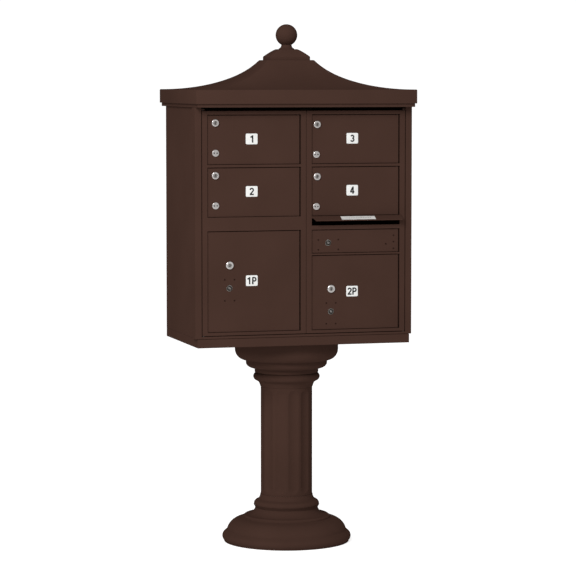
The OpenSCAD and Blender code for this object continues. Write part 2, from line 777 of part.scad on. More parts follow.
module master_frame(column) {
    x0 = MASTER_X[column][0];
    x1 = MASTER_X[column][1];
    side = column == 0 ? -1 : 1;
    mine = [for (d = [0 : len(DOORS) - 1]) if (COLUMN[d] == column) d];
    bx = side * pivot_x;
    lx = latch_x(column);
    color(bronze) difference() {
        union() {
            difference() {
                box([x0, face_y, master_z0], [x1, face_y + edge_depth, master_z1]);
                box([x0 + sheet_t, face_y + face_t, master_z0 + sheet_t],
                    [x1 - sheet_t, face_y + edge_depth + cut, master_z1 - sheet_t]);
            }
            for (d = mine)
                box([open_x(d)[0] - sheet_t, face_y + cut, open_z(d)[0] - sheet_t],
                    [open_x(d)[1] + sheet_t, jamb_back, open_z(d)[1] + sheet_t]);
            for (z = [master_z0, master_z1 - pivot_boss_h])
                box([bx - pivot_in, face_y, z], [bx + pivot_in, face_y + pivot_boss, z + pivot_boss_h]);
            for (z = GUIDE_Z)
                box([lx - guide_w / 2, face_y + cut, z],
                    [lx + guide_w / 2, latch_y + latch_t + guide_wall, z + guide_h]);
        }
        for (d = mine) {
            box([open_x(d)[0], face_y - cut, open_z(d)[0]], [open_x(d)[1], jamb_back + cut, open_z(d)[1]]);
            rod_z(pin_r, pin_x(d), pin_y, open_z(d)[0] - sheet_t - cut, open_z(d)[1] + sheet_t + cut);
        }
        if (column == 1)
            box([open_x(OUTGOING)[0], face_y - cut, slot_z0],
                [open_x(OUTGOING)[1], face_y + face_t + cut, slot_z0 + slot_h]);
        for (z = [master_z0 - cut, master_z1 - pivot_boss_h - cut])
            rod_z(pivot_r + run_fit, bx, pivot_y, z, z + pivot_boss_h + 2 * cut);
        box([lx - latch_w / 2 - slide_fit, latch_y - slide_fit, latch_z0],
            [lx + latch_w / 2 + slide_fit, latch_y + latch_t + slide_fit, master_z1 + cut]);
    }
}

module latch_bar(column) {
    x = latch_x(column);
    z = latch_tab_z[column];
    color(zinc) {
        box([x - latch_w / 2, latch_y, latch_z0], [x + latch_w / 2, latch_y + latch_t, latch_z1]);
        box([x - latch_w / 2, latch_y, z], [x + latch_w / 2, latch_y + latch_tab_out, z + latch_tab_h]);
    }
}

module door_pins(column) {
    reach = boss_h - 1;
    color(zinc)
        for (d = [0 : len(DOORS) - 1])
            if (COLUMN[d] == column) {
                rod_z(pin_r, pin_x(d), pin_y, open_z(d)[0] - sheet_t, leaf_z0(d) + reach);
                rod_z(pin_r, pin_x(d), pin_y, leaf_z1(d) - reach, open_z(d)[1] + sheet_t);
            }
}

// ---------- outgoing hood ----------

module outgoing_hood() {
    x0 = open_x(OUTGOING)[0] - 1;
    x1 = open_x(OUTGOING)[1] + 7;
    lip_top = hood_top - hood_drop;
    left_mitre = 8;
    right_mitre = 4;
    color(bronze) difference() {
        along_x(x0, x1, [
            [face_y, hood_top], [face_y - hood_t, hood_top],
            [hood_y, lip_top], [hood_y, lip_top - hood_lip],
            [hood_y + hood_t, lip_top - hood_lip], [hood_y + hood_t, lip_top - hood_t / 2],
            [face_y - hood_t, hood_top - 1.5 * hood_t], [face_y - hood_t, hood_top - hood_flange],
            [face_y, hood_top - hood_flange]
        ]);
        translate([x0, 0, lip_top - 2 * hood_lip]) linear_extrude(height = 3 * hood_drop)
            polygon([[0, face_y], [left_mitre, hood_y - cut], [-cut, hood_y - cut], [-cut, face_y]]);
        translate([x1, 0, lip_top - 2 * hood_lip]) linear_extrude(height = 3 * hood_drop)
            polygon([[0, face_y], [cut, face_y], [cut, hood_y - cut], [-right_mitre, hood_y - cut]]);
    }
}

// A thin plate on the hood's slope
module hood_label() {
    x0 = open_x(OUTGOING)[0] + label_in;
    label_t = 0.6;
    run = hood_out - hood_t;
    slope_l = norm([run, hood_drop]);
    normal = [-hood_drop, run] * label_t / slope_l;
    function on_slope(t) = [face_y - hood_t - run * t, hood_top - hood_drop * t];
    color(plate_white) along_x(x0, x0 + label_l,
        [on_slope(0.15), on_slope(0.15) + normal, on_slope(0.92) + normal, on_slope(0.92)]);
}

// ---------- small doors ----------

module leaf(d) {
    x0 = leaf_x0(d);
    x1 = leaf_x1(d);
    z0 = leaf_z0(d);
    z1 = leaf_z1(d);
    color(bronze) difference() {
        union() {
            difference() {
                box([x0, leaf_y, z0], [x1, leaf_back, z1]);
                box([x0 + sheet_t, leaf_inside, z0 + sheet_t], [x1 - sheet_t, leaf_back + cut, z1 - sheet_t]);
            }
            for (z = [z0, z1 - boss_h])
                box([x1 - boss, leaf_y, z], [x1, leaf_y + boss, z + boss_h]);
        }
        for (z = [z0 - cut, z1 - boss_h - cut])
            rod_z(pin_r + run_fit, pin_x(d), pin_y, z, z + boss_h + 2 * cut);
        if (d != OUTGOING)
            rod_y(barrel_r + hole_fit, lock_x(d), lock_z(d), leaf_y - cut, leaf_inside + cut);
        if (d <= MAIL_LAST)
            rod_y(blank_r + hole_fit, blank_x(d), blank_z(d), leaf_y - cut, leaf_inside + cut);
        if (d > MAIL_LAST) {
            rod_y(carrier_hole_r, carrier_x(d), carrier_z(d), leaf_y - cut, leaf_inside + cut);
            at_case_screws(d) rod_y(case_screw_r, 0, 0, leaf_y - cut, leaf_inside + cut);
        }
        if (d == OUTGOING)
            at_strap_rivets() rod_y(rivet_r, 0, 0, leaf_y - cut, leaf_inside + cut);
    }
}

module at_case_screws(d) {
    for (sx = [-1, 1])
        for (sz = [-1, 1])
            translate([carrier_x(d), 0, case_z(d)])
                translate([sx * case_screws(d)[0] / 2, 0, sz * case_screws(d)[1] / 2]) children();
}

module plate(d) {
    middle = (open_x(d)[0] + open_x(d)[1]) / 2;
    x = middle - plate_shift[COLUMN[d]];
    z = (open_z(d)[0] + open_z(d)[1]) / 2 + plate_up;
    color(plate_white) rounded_plate(x, z, plate_w, plate_h, leaf_y - plate_t, leaf_y, plate_corner);
}

// The barrel of a cam lock: a bevelled head, a threaded body, its nut, and a bore for the plug
module lock_barrel(x, z, head_r) {
    head_y = leaf_y - lock_head_t;
    bevel = 1.5;
    difference() {
        union() {
            translate([x, head_y, z])
                rotate([-90, 0, 0]) cylinder(r1 = head_r - bevel, r2 = head_r, h = bevel);
            rod_y(head_r, x, z, head_y + bevel, leaf_y);
            rod_y(barrel_r, x, z, leaf_y - cut, cam_y - 0.5);
            nut_y(barrel_r + 3.5, x, z, leaf_inside, leaf_inside + 5);
        }
        rod_y(plug_r + run_fit, x, z, head_y - cut, cam_y + cut);
    }
}

// A blank plug: a low head with two spanner holes, a body and its nut
module blank_plug(x, z) {
    head_t = 4;
    difference() {
        union() {
            rod_y(blank_head_r, x, z, leaf_y - head_t, leaf_y);
            rod_y(blank_r, x, z, leaf_y - cut, leaf_back - 1);
            nut_y(blank_r + 2, x, z, leaf_inside, leaf_inside + 4);
        }
        for (side = [-1, 1])
            rod_y(1.5, x + side * blank_head_r / 2, z, leaf_y - head_t - cut, leaf_y - 1.5);
    }
}

module lock(d) {
    color(bright) {
        lock_barrel(lock_x(d), lock_z(d), is_parcel(d) ? parcel_head_r : lock_head_r);
        if (!is_parcel(d))
            blank_plug(blank_x(d), blank_z(d));
    }
}

// The plug with its keyway, and the cam behind it. A mail door's open cam hangs down, a parcel
// door's stands up; either turns to point left, behind the jamb.
module cam(d) {
    x = lock_x(d);
    z = lock_z(d);
    up = is_parcel(d) ? 1 : -1;
    tip = z + up * (cam_l(d) - cam_w / 2);
    front = leaf_y - lock_head_t + 0.8;
    color(zinc) difference() {
        union() {
            rod_y(plug_r, x, z, front, cam_y + cam_t);
            rod_y(cam_w / 2 + 1, x, z, cam_y, cam_y + cam_t);
            rod_y(cam_w / 2, x, tip, cam_y, cam_y + cam_t);
            box([x - cam_w / 2, cam_y, min(z, tip)], [x + cam_w / 2, cam_y + cam_t, max(z, tip)]);
            nut_y(4.5, x, z, cam_y + cam_t, cam_y + cam_t + 2.5);
        }
        box([x - 0.9, front - cut, z - 4.5], [x + 0.9, front + 8, z + 4.5]);
    }
}

// A carrier's lock: the case behind the door, its cylinder in the round hole, and four screws
module carrier_lock(d) {
    x = carrier_x(d);
    z = carrier_z(d);
    w = case_size(d)[0] / 2;
    h = case_size(d)[1] / 2;
    color(zinc) difference() {
        union() {
            box([x - w, leaf_inside, case_z(d) - h], [x + w, case_back, case_z(d) + h]);
            rod_y(carrier_r, x, z, leaf_y - 1, leaf_inside + cut);
            at_case_screws(d) rod_y(case_screw_r, 0, 0, leaf_y, leaf_inside + cut);
            at_case_screws(d) rod_y(case_screw_r + 1, 0, 0, leaf_y - 0.8, leaf_y);
        }
        translate([x - w, slide_y, case_z(d)])
            box([-cut, -slide_fit, -slide_h / 2 - slide_fit],
                [slide_hold + slide_fit, slide_t + slide_fit, slide_h / 2 + slide_fit]);
        rod_y(1.6, x, z, leaf_y - 1 - cut, leaf_y + 3);
    }
}

module carrier_bolt(d) {
    x0 = open_x(d)[0] + slide_rest;
    x1 = carrier_x(d) - case_size(d)[0] / 2 + slide_hold;
    color(bright)
        box([x0, slide_y, case_z(d) - slide_h / 2], [x1, slide_y + slide_t, case_z(d) + slide_h / 2]);
}

module at_strap_rivets() {
    for (at = RIVETS)
        translate([strap_x + at[0], 0, strap_z + at[1]]) children();
}

// A stiffening strap inside the outgoing door, held by four rivets
module strap() {
    color(zinc) union() {
        box([strap_x - strap_w / 2, leaf_inside, strap_z - strap_h / 2],
            [strap_x + strap_w / 2, leaf_inside + sheet_t, strap_z + strap_h / 2]);
        at_strap_rivets() rod_y(rivet_r, 0, 0, leaf_y, leaf_inside + cut);
        at_strap_rivets() rod_y(rivet_r + 1, 0, 0, leaf_y - 0.8, leaf_y);
    }
}

// ---------- the model ----------

pedestal_post();
deck_bolts();
base_cover();
column_sleeve();
capital_cover();
bottom_pan();
floor_sill();
side_panel(-1);  // left_side
side_panel(1);  // right_side
corner_post(-1);  // left_post
corner_post(1);  // right_post
back_panel();
header();
divider();
shelves();
cap_rim();
cap_roof();
cap_tier();
finial();
pivot_pins();
master_frame(0);  // left_master_frame
master_frame(1);  // right_master_frame
latch_bar(0);  // left_latch_bar
latch_bar(1);  // right_latch_bar
door_pins(0);  // left_door_pins
door_pins(1);  // right_door_pins
outgoing_hood();
hood_label();
leaf(OUTGOING);  // outgoing_leaf
strap();  // outgoing_strap
for (d = concat(MAIL, PARCELS)) {
    leaf(d);
    plate(d);
    lock(d);
    cam(d);
}
for (d = concat(PARCELS, [OUTGOING])) {
    carrier_lock(d);
    carrier_bolt(d);
}
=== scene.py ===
# %% [markdown]
# # A cluster mailbox unit on a fluted pedestal
# The cabinet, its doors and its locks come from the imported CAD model, which fixes every size.
# This lesson gives them their looks: folded sheet metal with soft bends, turned mouldings, a
# curved roof, plated locks, number plates, and a matt powder coat.
#
# We load the frame first and keep its box, because nothing we make may grow past it.

import json
import math

import bmesh
import bpy
from mathutils import Matrix, Vector


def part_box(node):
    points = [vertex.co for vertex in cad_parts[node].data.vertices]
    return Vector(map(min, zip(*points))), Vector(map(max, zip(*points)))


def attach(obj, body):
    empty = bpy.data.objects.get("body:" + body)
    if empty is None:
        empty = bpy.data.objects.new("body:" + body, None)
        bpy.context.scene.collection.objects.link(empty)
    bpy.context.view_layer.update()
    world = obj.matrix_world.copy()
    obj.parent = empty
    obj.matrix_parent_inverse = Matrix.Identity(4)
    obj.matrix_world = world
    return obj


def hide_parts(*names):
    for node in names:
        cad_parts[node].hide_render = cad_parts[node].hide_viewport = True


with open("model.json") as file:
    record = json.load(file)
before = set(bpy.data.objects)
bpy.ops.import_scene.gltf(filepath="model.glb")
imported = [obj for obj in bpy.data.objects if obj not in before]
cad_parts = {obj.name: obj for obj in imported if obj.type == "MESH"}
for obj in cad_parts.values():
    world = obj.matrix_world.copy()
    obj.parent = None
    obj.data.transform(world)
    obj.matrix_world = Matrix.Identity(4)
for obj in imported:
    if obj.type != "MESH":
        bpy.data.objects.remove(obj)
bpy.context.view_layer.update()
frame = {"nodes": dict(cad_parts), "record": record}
record = frame["record"]
body_of = {node: body for body, group in record["behaviour"]["bodies"].items() for node in group}
joint_at = {joint["name"]: joint.get("pos_m") for joint in record["behaviour"]["joints"]}

# %% [markdown]
# ## The camera
# A product shot is taken from far away with a long lens, so that upright edges stay upright. We
# stand a little to the left of the front, and look down a few degrees on the middle of the unit.
# A matched lens and distance keep the same foreshortening as a real studio shot.

# %% Camera
MM = 0.001
camera_turn = math.radians(15.957)
camera_down = math.radians(4.576)
camera_aside = math.radians(0.034)
camera_reach = 9.2891
camera_height = 1.6407

camera_data = bpy.data.cameras.new("studio_camera")
camera_data.lens = 165.17
camera_data.sensor_width = 36
camera_data.clip_end = 400
camera = bpy.data.objects.new("studio_camera", camera_data)
bpy.context.scene.collection.objects.link(camera)
camera.location = (
    -math.sin(camera_turn) * camera_reach,
    -math.cos(camera_turn) * camera_reach,
    camera_height,
)
camera.rotation_euler = (math.pi / 2 - camera_down, 0, -camera_turn - camera_aside)
bpy.context.scene.camera = camera
print("camera at", [round(v, 3) for v in camera.location])

# %% [markdown]
# ## Helpers for modelling
# Operators act on whatever is selected, so every step starts by selecting nothing. `settle` puts
# an object's place into its mesh, which leaves the object itself at the origin, as a CAD node's
# is. `edit` opens a mesh, and `pick_faces` and `pick_edges` select by a test, as a hand would.


# %% Helpers: selecting
def rest():
    """Leave edit mode and select nothing."""
    if bpy.context.mode != "OBJECT":
        bpy.ops.object.mode_set(mode="OBJECT")
    bpy.ops.object.select_all(action="DESELECT")


def choose(piece):
    """Select one object and make it the active one."""
    rest()
    piece.select_set(True)
    bpy.context.view_layer.objects.active = piece


def settle(piece):
    """Move the object's place, turn and scale into its mesh."""
    choose(piece)
    bpy.ops.object.transform_apply(location=True, rotation=True, scale=True)


def edit(piece, kind="FACE"):
    """Open a mesh for editing with nothing selected."""
    choose(piece)
    bpy.ops.object.mode_set(mode="EDIT")
    bpy.ops.mesh.select_mode(type=kind)
    bpy.ops.mesh.select_all(action="DESELECT")


def pick_faces(piece, test):
    """Select the faces whose centre and normal pass a test."""
    mesh = bmesh.from_edit_mesh(piece.data)
    for face in mesh.faces:
        face.select_set(test(face.calc_center_median(), face.normal))
    bmesh.update_edit_mesh(piece.data)


def pick_edges(piece, test):
    """Select the edges whose two ends pass a test."""
    mesh = bmesh.from_edit_mesh(piece.data)
    for edge in mesh.edges:
        edge.select_set(test(edge.verts[0].co, edge.verts[1].co))
    bmesh.update_edit_mesh(piece.data)


print("selecting helpers ready")


# %% Helpers: making and finishing
def block(name, low, high):
    """A cube primitive that fills the box between two corners."""
    rest()
    low, high = Vector(low), Vector(high)
    bpy.ops.mesh.primitive_cube_add(size=1, location=(low + high) / 2)
    piece = bpy.context.object
    piece.name = name
    piece.scale = high - low
    settle(piece)
    return piece


def run_modifier(piece, kind, **settings):
    """Add a modifier with these settings and apply it at once."""
    choose(piece)
    modifier = piece.modifiers.new(kind.lower(), kind)
    for setting, value in settings.items():
        setattr(modifier, setting, value)
    bpy.ops.object.modifier_apply(modifier=modifier.name)


def smooth(piece, degrees):
    """Shade a piece smooth where its faces meet at less than this angle."""
    choose(piece)
    bpy.ops.object.shade_smooth_by_angle(angle=math.radians(degrees))


def clean(piece, degrees=30):
    """Merge doubles, turn faces outwards, and shade soft bends smooth."""
    edit(piece, "VERT")
    bpy.ops.mesh.select_all(action="SELECT")
    bpy.ops.mesh.remove_doubles(threshold=1e-6)
    bpy.ops.mesh.normals_make_consistent(inside=False)
    smooth(piece, degrees)


def shell(piece, wall, degrees):
    """Give an open surface its wall, on the inner side."""
    clean(piece)
    run_modifier(piece, "SOLIDIFY", thickness=wall, offset=-1, use_even_offset=True)
    smooth(piece, degrees)


def ease(piece, width):
    """Round the sharp edges of a small piece."""
    run_modifier(piece, "BEVEL", width=width, segments=2, angle_limit=math.radians(40))


def rod(sides, radius, front, back, aside=0):
    """A cylinder primitive along the Y axis, from front to back."""
    rest()
    bpy.ops.mesh.primitive_cylinder_add(
        vertices=sides, radius=radius, depth=back - front,
        location=(aside, (front + back) / 2, 0), rotation=(math.pi / 2, 0, 0),
    )
    piece = bpy.context.object
    settle(piece)
    return piece


def copy_to(model, name, place):
    """A copy of a finished model, with its own mesh, moved to a place."""
    piece = bpy.data.objects.new(name, model.data.copy())
    bpy.context.scene.collection.objects.link(piece)
    piece.location = place
    settle(piece)
    return piece


def join(pieces, name):
    """Several meshes become one piece."""
    rest()
    for piece in pieces:
        piece.select_set(True)
    bpy.context.view_layer.objects.active = pieces[0]
    bpy.ops.object.join()
    pieces[0].name = name
    return pieces[0]


def fit(piece, node, material, replaces=True):
    """Give a piece its finish, its body and its slot; it stands for the CAD node if asked."""
    piece.data.materials.clear()
    piece.data.materials.append(material)
    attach(piece, body_of[node])
    if replaces:
        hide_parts(node)
    return piece


print("making helpers ready")

# %% [markdown]
# ## Powder coat
# Sprayed powder melts into a thin, matt skin. Close up it has a fine orange peel, a few square
# millimetres to a dimple, and from further off its shade drifts a little, because the film is
# never quite even. We build that from four noises on Object coordinates: a wide one for the
# shade, a middle one for the roughness, and two fine ones for the bump. Noise needs no image and
# follows every piece without a seam. The coat has no specular reflection at all, which keeps it
# brown where it is seen at a flat angle.


# %% Material helpers
def blank_material(name, roughness, metallic=0.0):
    """A new material with its shader and its object coordinates."""
    material = bpy.data.materials.new(name)
    material.use_nodes = True
    shader = material.node_tree.nodes["Principled BSDF"]
    shader.inputs["Roughness"].default_value = roughness
    shader.inputs["Metallic"].default_value = metallic
    coordinates = material.node_tree.nodes.new("ShaderNodeTexCoord")
    return material, shader, coordinates.outputs["Object"]


def add_noise(material, vector, scale, detail=2.0, stretch=None):
    """A noise's value; stretch squeezes it along the axes, in times per axis."""
    nodes, links = material.node_tree.nodes, material.node_tree.links
    if stretch:
        mapping = nodes.new("ShaderNodeMapping")
        mapping.inputs["Scale"].default_value = stretch
        links.new(vector, mapping.inputs["Vector"])
        vector = mapping.outputs["Vector"]
    noise = nodes.new("ShaderNodeTexNoise")
    noise.inputs["Scale"].default_value = scale
    noise.inputs["Detail"].default_value = detail
    links.new(vector, noise.inputs["Vector"])
    return noise.outputs["Fac"]


def add_ramp(material, value, low, high, colours):
    """The value picks between two colours, from low to high."""
    nodes, links = material.node_tree.nodes, material.node_tree.links
    ramp = nodes.new("ShaderNodeValToRGB")
    for stop, place, colour in zip(ramp.color_ramp.elements, (low, high), colours):
        stop.position = place
        stop.color = (*colour, 1.0)
    links.new(value, ramp.inputs["Fac"])
    return ramp.outputs["Color"]


def add_range(material, value, low, high):
    """The value moved from 0..1 to low..high."""
    nodes, links = material.node_tree.nodes, material.node_tree.links
    remap = nodes.new("ShaderNodeMapRange")
    remap.inputs["From Min"].default_value = 0.3
    remap.inputs["From Max"].default_value = 0.7
    remap.inputs["To Min"].default_value = low
    remap.inputs["To Max"].default_value = high
    links.new(value, remap.inputs["Value"])
    return remap.outputs["Result"]


def add_bump(material, shader, heights):
    """Chain bumps, each (height, depth in metres, strength), into the shader's normal."""
    nodes, links = material.node_tree.nodes, material.node_tree.links
    before = None
    for height, depth, strength in heights:
        bump = nodes.new("ShaderNodeBump")
        bump.inputs["Distance"].default_value = depth
        bump.inputs["Strength"].default_value = strength
        links.new(height, bump.inputs["Height"])
        if before:
            links.new(before, bump.inputs["Normal"])
        before = bump.outputs["Normal"]
    links.new(before, shader.inputs["Normal"])


print("material helpers ready")


# %% Powder coat
SHADE_SCALE = 5.0
HAZE_SCALE = 38.0
PEEL_SCALE = 420.0
PEEL_DEPTH = 0.12 * MM
GRAIN_SCALE = 1600.0
GRAIN_DEPTH = 0.04 * MM


def powder_coat(name, dark, light, gloss_low, gloss_high):
    """A matt powder coat whose shade drifts between two near colours."""
    material, shader, where = blank_material(name, gloss_high)
    shader.inputs["Specular IOR Level"].default_value = 0.0
    links = material.node_tree.links
    drift = add_noise(material, where, SHADE_SCALE, 3.0)
    links.new(add_ramp(material, drift, 0.3, 0.7, (dark, light)), shader.inputs["Base Color"])
    haze = add_noise(material, where, HAZE_SCALE, 3.0)
    links.new(add_range(material, haze, gloss_low, gloss_high), shader.inputs["Roughness"])
    peel = add_noise(material, where, PEEL_SCALE, 2.0)
    grain = add_noise(material, where, GRAIN_SCALE, 1.0)
    add_bump(material, shader, [(peel, PEEL_DEPTH, 0.35), (grain, GRAIN_DEPTH, 0.3)])
    return material


bronze_paint = powder_coat(
    "bronze_powder_coat", (0.0580, 0.0300, 0.0224), (0.0650, 0.0336, 0.0252), 0.54, 0.66
)
# A nearly black coat that is painted shade: it lines the recess behind the head gap and the spanner holes,
# so both read black.
shade_black_paint = powder_coat("painted_shade_black", (0.008, 0.006, 0.005), (0.013, 0.010, 0.009), 0.6, 0.75)
# The door's paint made darker as painted shade, for screw and rivet heads whose shadows read as dark dots.
screw_shade_paint = powder_coat("screw_shade_paint", (0.022, 0.011, 0.008), (0.030, 0.015, 0.011), 0.5, 0.6)
print("coats:", bronze_paint.name, shade_black_paint.name, screw_shade_paint.name)

# %% [markdown]
# ## Metals, plates and inks
# Zinc-plated steel shows cloudy patches and fine rolling lines, a plated lock head is smooth
# with faint turning marks, and a plug's face is duller from keys. A number plate is a smooth
# moulded plastic with a soft gloss. Each has its own noise, stretched along the way that the
# tool ran, so that no two metals look alike.


# %% Metals
LINE_SCALE = 1400.0
LINE_DEPTH = 0.03 * MM


def metal(name, dark, light, gloss_low, gloss_high, scale, stretch):
    """A metal with brushed or rolled lines along one axis."""
    material, shader, where = blank_material(name, gloss_high, 1.0)
    links = material.node_tree.links
    cloud = add_noise(material, where, scale, 3.0)
    links.new(add_ramp(material, cloud, 0.3, 0.7, (dark, light)), shader.inputs["Base Color"])
    lines = add_noise(material, where, LINE_SCALE, 2.0, stretch)
    links.new(add_range(material, lines, gloss_low, gloss_high), shader.inputs["Roughness"])
    add_bump(material, shader, [(lines, LINE_DEPTH, 0.25)])
    return material


zinc_steel = metal(
    "zinc_plate", (0.42, 0.41, 0.38), (0.58, 0.57, 0.54), 0.32, 0.48, 55.0, (1, 1, 0.08)
)
lock_chrome = metal(
    "lock_chrome", (0.73, 0.69, 0.67), (0.84, 0.80, 0.78), 0.22, 0.36, 160.0, (1, 1, 1)
)
plug_steel = metal(
    "plug_steel", (0.24, 0.225, 0.215), (0.36, 0.34, 0.325), 0.34, 0.5, 240.0, (0.1, 1, 1)
)
pin_steel = metal("pin_steel", (0.05, 0.045, 0.04), (0.09, 0.08, 0.075), 0.4, 0.6, 200.0, (1, 1, 0.1))
print("metals:", zinc_steel.name, lock_chrome.name, plug_steel.name, pin_steel.name)


# %% Plates and inks
TONE_SCALE = 70.0
GLOSS_SCALE = 300.0
GLOSS_SPREAD = 0.06
RIPPLE_SCALE = 700.0
RIPPLE_DEPTH = 0.05 * MM


def smooth_plastic(name, dark, light, roughness, ripple):
    """A moulded or printed surface: nearly one colour, with a faint ripple."""
    material, shader, where = blank_material(name, roughness)
    links = material.node_tree.links
    tone = add_noise(material, where, TONE_SCALE, 2.0)
    links.new(add_ramp(material, tone, 0.3, 0.7, (dark, light)), shader.inputs["Base Color"])
    gloss = add_noise(material, where, GLOSS_SCALE, 2.0)
    links.new(
        add_range(material, gloss, roughness - GLOSS_SPREAD, roughness), shader.inputs["Roughness"]
    )
    waves = add_noise(material, where, RIPPLE_SCALE)
    add_bump(material, shader, [(waves, RIPPLE_DEPTH, ripple)])
    return material


plate_white = smooth_plastic("plate_white", (0.84, 0.84, 0.82), (0.90, 0.90, 0.88), 0.36, 0.15)
numeral_black = smooth_plastic("numeral_black", (0.002, 0.002, 0.002), (0.004, 0.004, 0.004), 0.6, 0.3)
label_film = smooth_plastic("label_film", (0.66, 0.65, 0.63), (0.76, 0.75, 0.73), 0.42, 0.2)
label_ink = smooth_plastic("label_ink", (0.06, 0.06, 0.06), (0.10, 0.10, 0.10), 0.55, 0.3)
print("plates and inks:", plate_white.name, numeral_black.name, label_film.name, label_ink.name)

# %% [markdown]
# ## Folded sheet metal
# Panels, posts, door frames and doors are sheet steel and aluminium, folded in a press. A fold
# has a radius of about the sheet's thickness, so it catches a thin line of light that a sharp
# CAD corner never shows. We could model each panel again, but the CAD shape is already right.
# So we copy a node, merge its loose triangles, and run a small bevel round every corner. Where
# two cuts meet in a narrow web the bevel can throw a point outwards, so every point is pulled
# back into the node's own box. Weighted normals keep the flats flat and only the bends soft.


# %% Folded sheet pieces
WELD = 2e-5
FOLD_ANGLE = math.radians(35)


def folded(node, radius, material=bronze_paint):
    """A copy of a CAD node with soft bends, which stands for the node."""
    mesh = frame["nodes"][node].data.copy()
    piece = bpy.data.objects.new(node + "_soft", mesh)
    bpy.context.scene.collection.objects.link(piece)
    edit(piece, "VERT")
    bpy.ops.mesh.select_all(action="SELECT")
    bpy.ops.mesh.customdata_custom_splitnormals_clear()
    bpy.ops.mesh.remove_doubles(threshold=WELD)
    run_modifier(
        piece,
        "BEVEL",
        width=radius,
        segments=2,
        limit_method="ANGLE",
        angle_limit=FOLD_ANGLE,
        use_clamp_overlap=False,
        loop_slide=False,
    )
    low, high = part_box(node)
    for vertex in piece.data.vertices:
        for axis in range(3):
            vertex.co[axis] = min(max(vertex.co[axis], low[axis]), high[axis])
    smooth(piece, 50)
    run_modifier(piece, "WEIGHTED_NORMAL", weight=90, keep_sharp=True)
    return fit(piece, node, material)


# Each panel's bend radius, in millimetres.
PANELS = {
    "bottom_pan": 1.2, "floor_sill": 0.6, "left_side": 0.8, "right_side": 0.8, "left_post": 1.0,
    "right_post": 1.0, "back_panel": 0.8, "divider": 0.6, "shelves": 0.5, "cap_rim": 0.8,
    "left_master_frame": 0.4, "right_master_frame": 0.4, "outgoing_hood": 0.5,
}
for node, bend in PANELS.items():
    folded(node, bend * MM)
# The header is painted nearly black as painted shade, so the gap under the cap reads as a deep black recess.
folded("header", 0.6 * MM, shade_black_paint)
print("folded panels:", len(PANELS) + 1)

# %% The small doors
MAIL_DOORS = ["door_1", "door_2", "door_3", "door_4"]
PARCEL_DOORS = ["parcel_1", "parcel_2"]
CARRIER_DOORS = PARCEL_DOORS + ["outgoing"]
leaf_bend = 0.4 * MM
for door in MAIL_DOORS + CARRIER_DOORS:
    folded(door + "_leaf", leaf_bend)
print("small doors:", len(MAIL_DOORS + CARRIER_DOORS))

# %% Steel bars, bolts, post and pins
bar_edge = 0.4 * MM
for node in ["left_latch_bar", "right_latch_bar", "outgoing_carrier_bolt"]:
    folded(node, bar_edge, zinc_steel)
for door in PARCEL_DOORS:
    folded(door + "_carrier_bolt", bar_edge, zinc_steel)
PLAIN = {
    "pedestal_post": zinc_steel, "deck_bolts": zinc_steel, "pivot_pins": pin_steel,
    "left_door_pins": pin_steel, "right_door_pins": pin_steel,
}
for node, finish in PLAIN.items():
    part = frame["nodes"][node]
    part.data.materials.clear()
    part.data.materials.append(finish)
print("steel parts ready")

# %% [markdown]
# ## Turned mouldings
# The base, the capital and the ball are round, cast in a mould that was turned on a lathe. We
# work as the turner does: draw half the outline, one point after another, and spin it about the
# axis. Round stretches are arcs, given by a centre and two radii.


# %% Turning
def arc(centre, radii, start, end, steps):
    """Points on an ellipse from one angle to another, in degrees."""
    points = []
    for k in range(steps + 1):
        angle = math.radians(start + (end - start) * k / steps)
        points.append((centre[0] + radii[0] * math.cos(angle), centre[1] + radii[1] * math.sin(angle)))
    return points


def turned(name, outline, steps=128, axis="Z"):
    """Spin an outline of (radius, along) points about the Z axis or the Y axis."""
    rest()
    bpy.ops.mesh.primitive_plane_add(size=MM)
    piece = bpy.context.object
    piece.name = name
    edit(piece, "VERT")
    bpy.ops.mesh.select_all(action="SELECT")
    bpy.ops.mesh.merge(type="CENTER")
    along = Vector((0, 0, 1)) if axis == "Z" else Vector((0, 1, 0))
    points = [Vector((radius, 0, 0)) + along * place for radius, place in outline]
    bpy.ops.transform.translate(value=points[0])
    for here, there in zip(points, points[1:]):
        bpy.ops.mesh.extrude_region_move(TRANSFORM_OT_translate={"value": there - here})
    bpy.ops.mesh.select_all(action="SELECT")
    bpy.ops.mesh.spin(steps=steps, angle=2 * math.pi, center=(0, 0, 0), axis=along)
    return piece


print("turning ready")

# %% [markdown]
# ### The base cover
# From the ground up it has a rounded foot, a domed plinth, a ring, a hollow, a fat torus and a
# small collar that holds the column. The sizes come from the CAD node's own box.

# %% Base cover
base_low, base_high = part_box("base_cover")
column_low, column_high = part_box("column_sleeve")
foot = base_high.x
column = column_high.x
cover_wall = 4 * MM
moulding_angle = 32
base_outline = [(foot - 7 * MM, base_low.z)]
base_outline += arc((foot - 18 * MM, 18 * MM), (18 * MM, 18 * MM), -52, 50, 10)
base_outline += arc((foot - 73 * MM, 29 * MM), (58 * MM, 54 * MM), 12, 80, 16)
base_outline += [(foot - 73 * MM, 85 * MM), (foot - 73.6 * MM, 89 * MM), (foot - 80 * MM, 94 * MM)]
base_outline += arc((foot - 84 * MM, 126 * MM), (34 * MM, 32 * MM), 270, 180, 12)
base_outline += arc((column + 8.5 * MM, 133 * MM), (16 * MM, 15 * MM), -65, 70, 16)
base_outline += [(column + 7 * MM, 151 * MM), (column + 3 * MM, 160 * MM), (column + 1.5 * MM, base_high.z)]
base = turned("base_moulding", base_outline)
shell(base, cover_wall, moulding_angle)
fit(base, "base_cover", bronze_paint)
print("base outline points:", len(base_outline))

# %% [markdown]
# ### The capital
# It is the same kind of moulding, upside down and wider, from the column's collar up to the
# flat face that carries the cabinet.

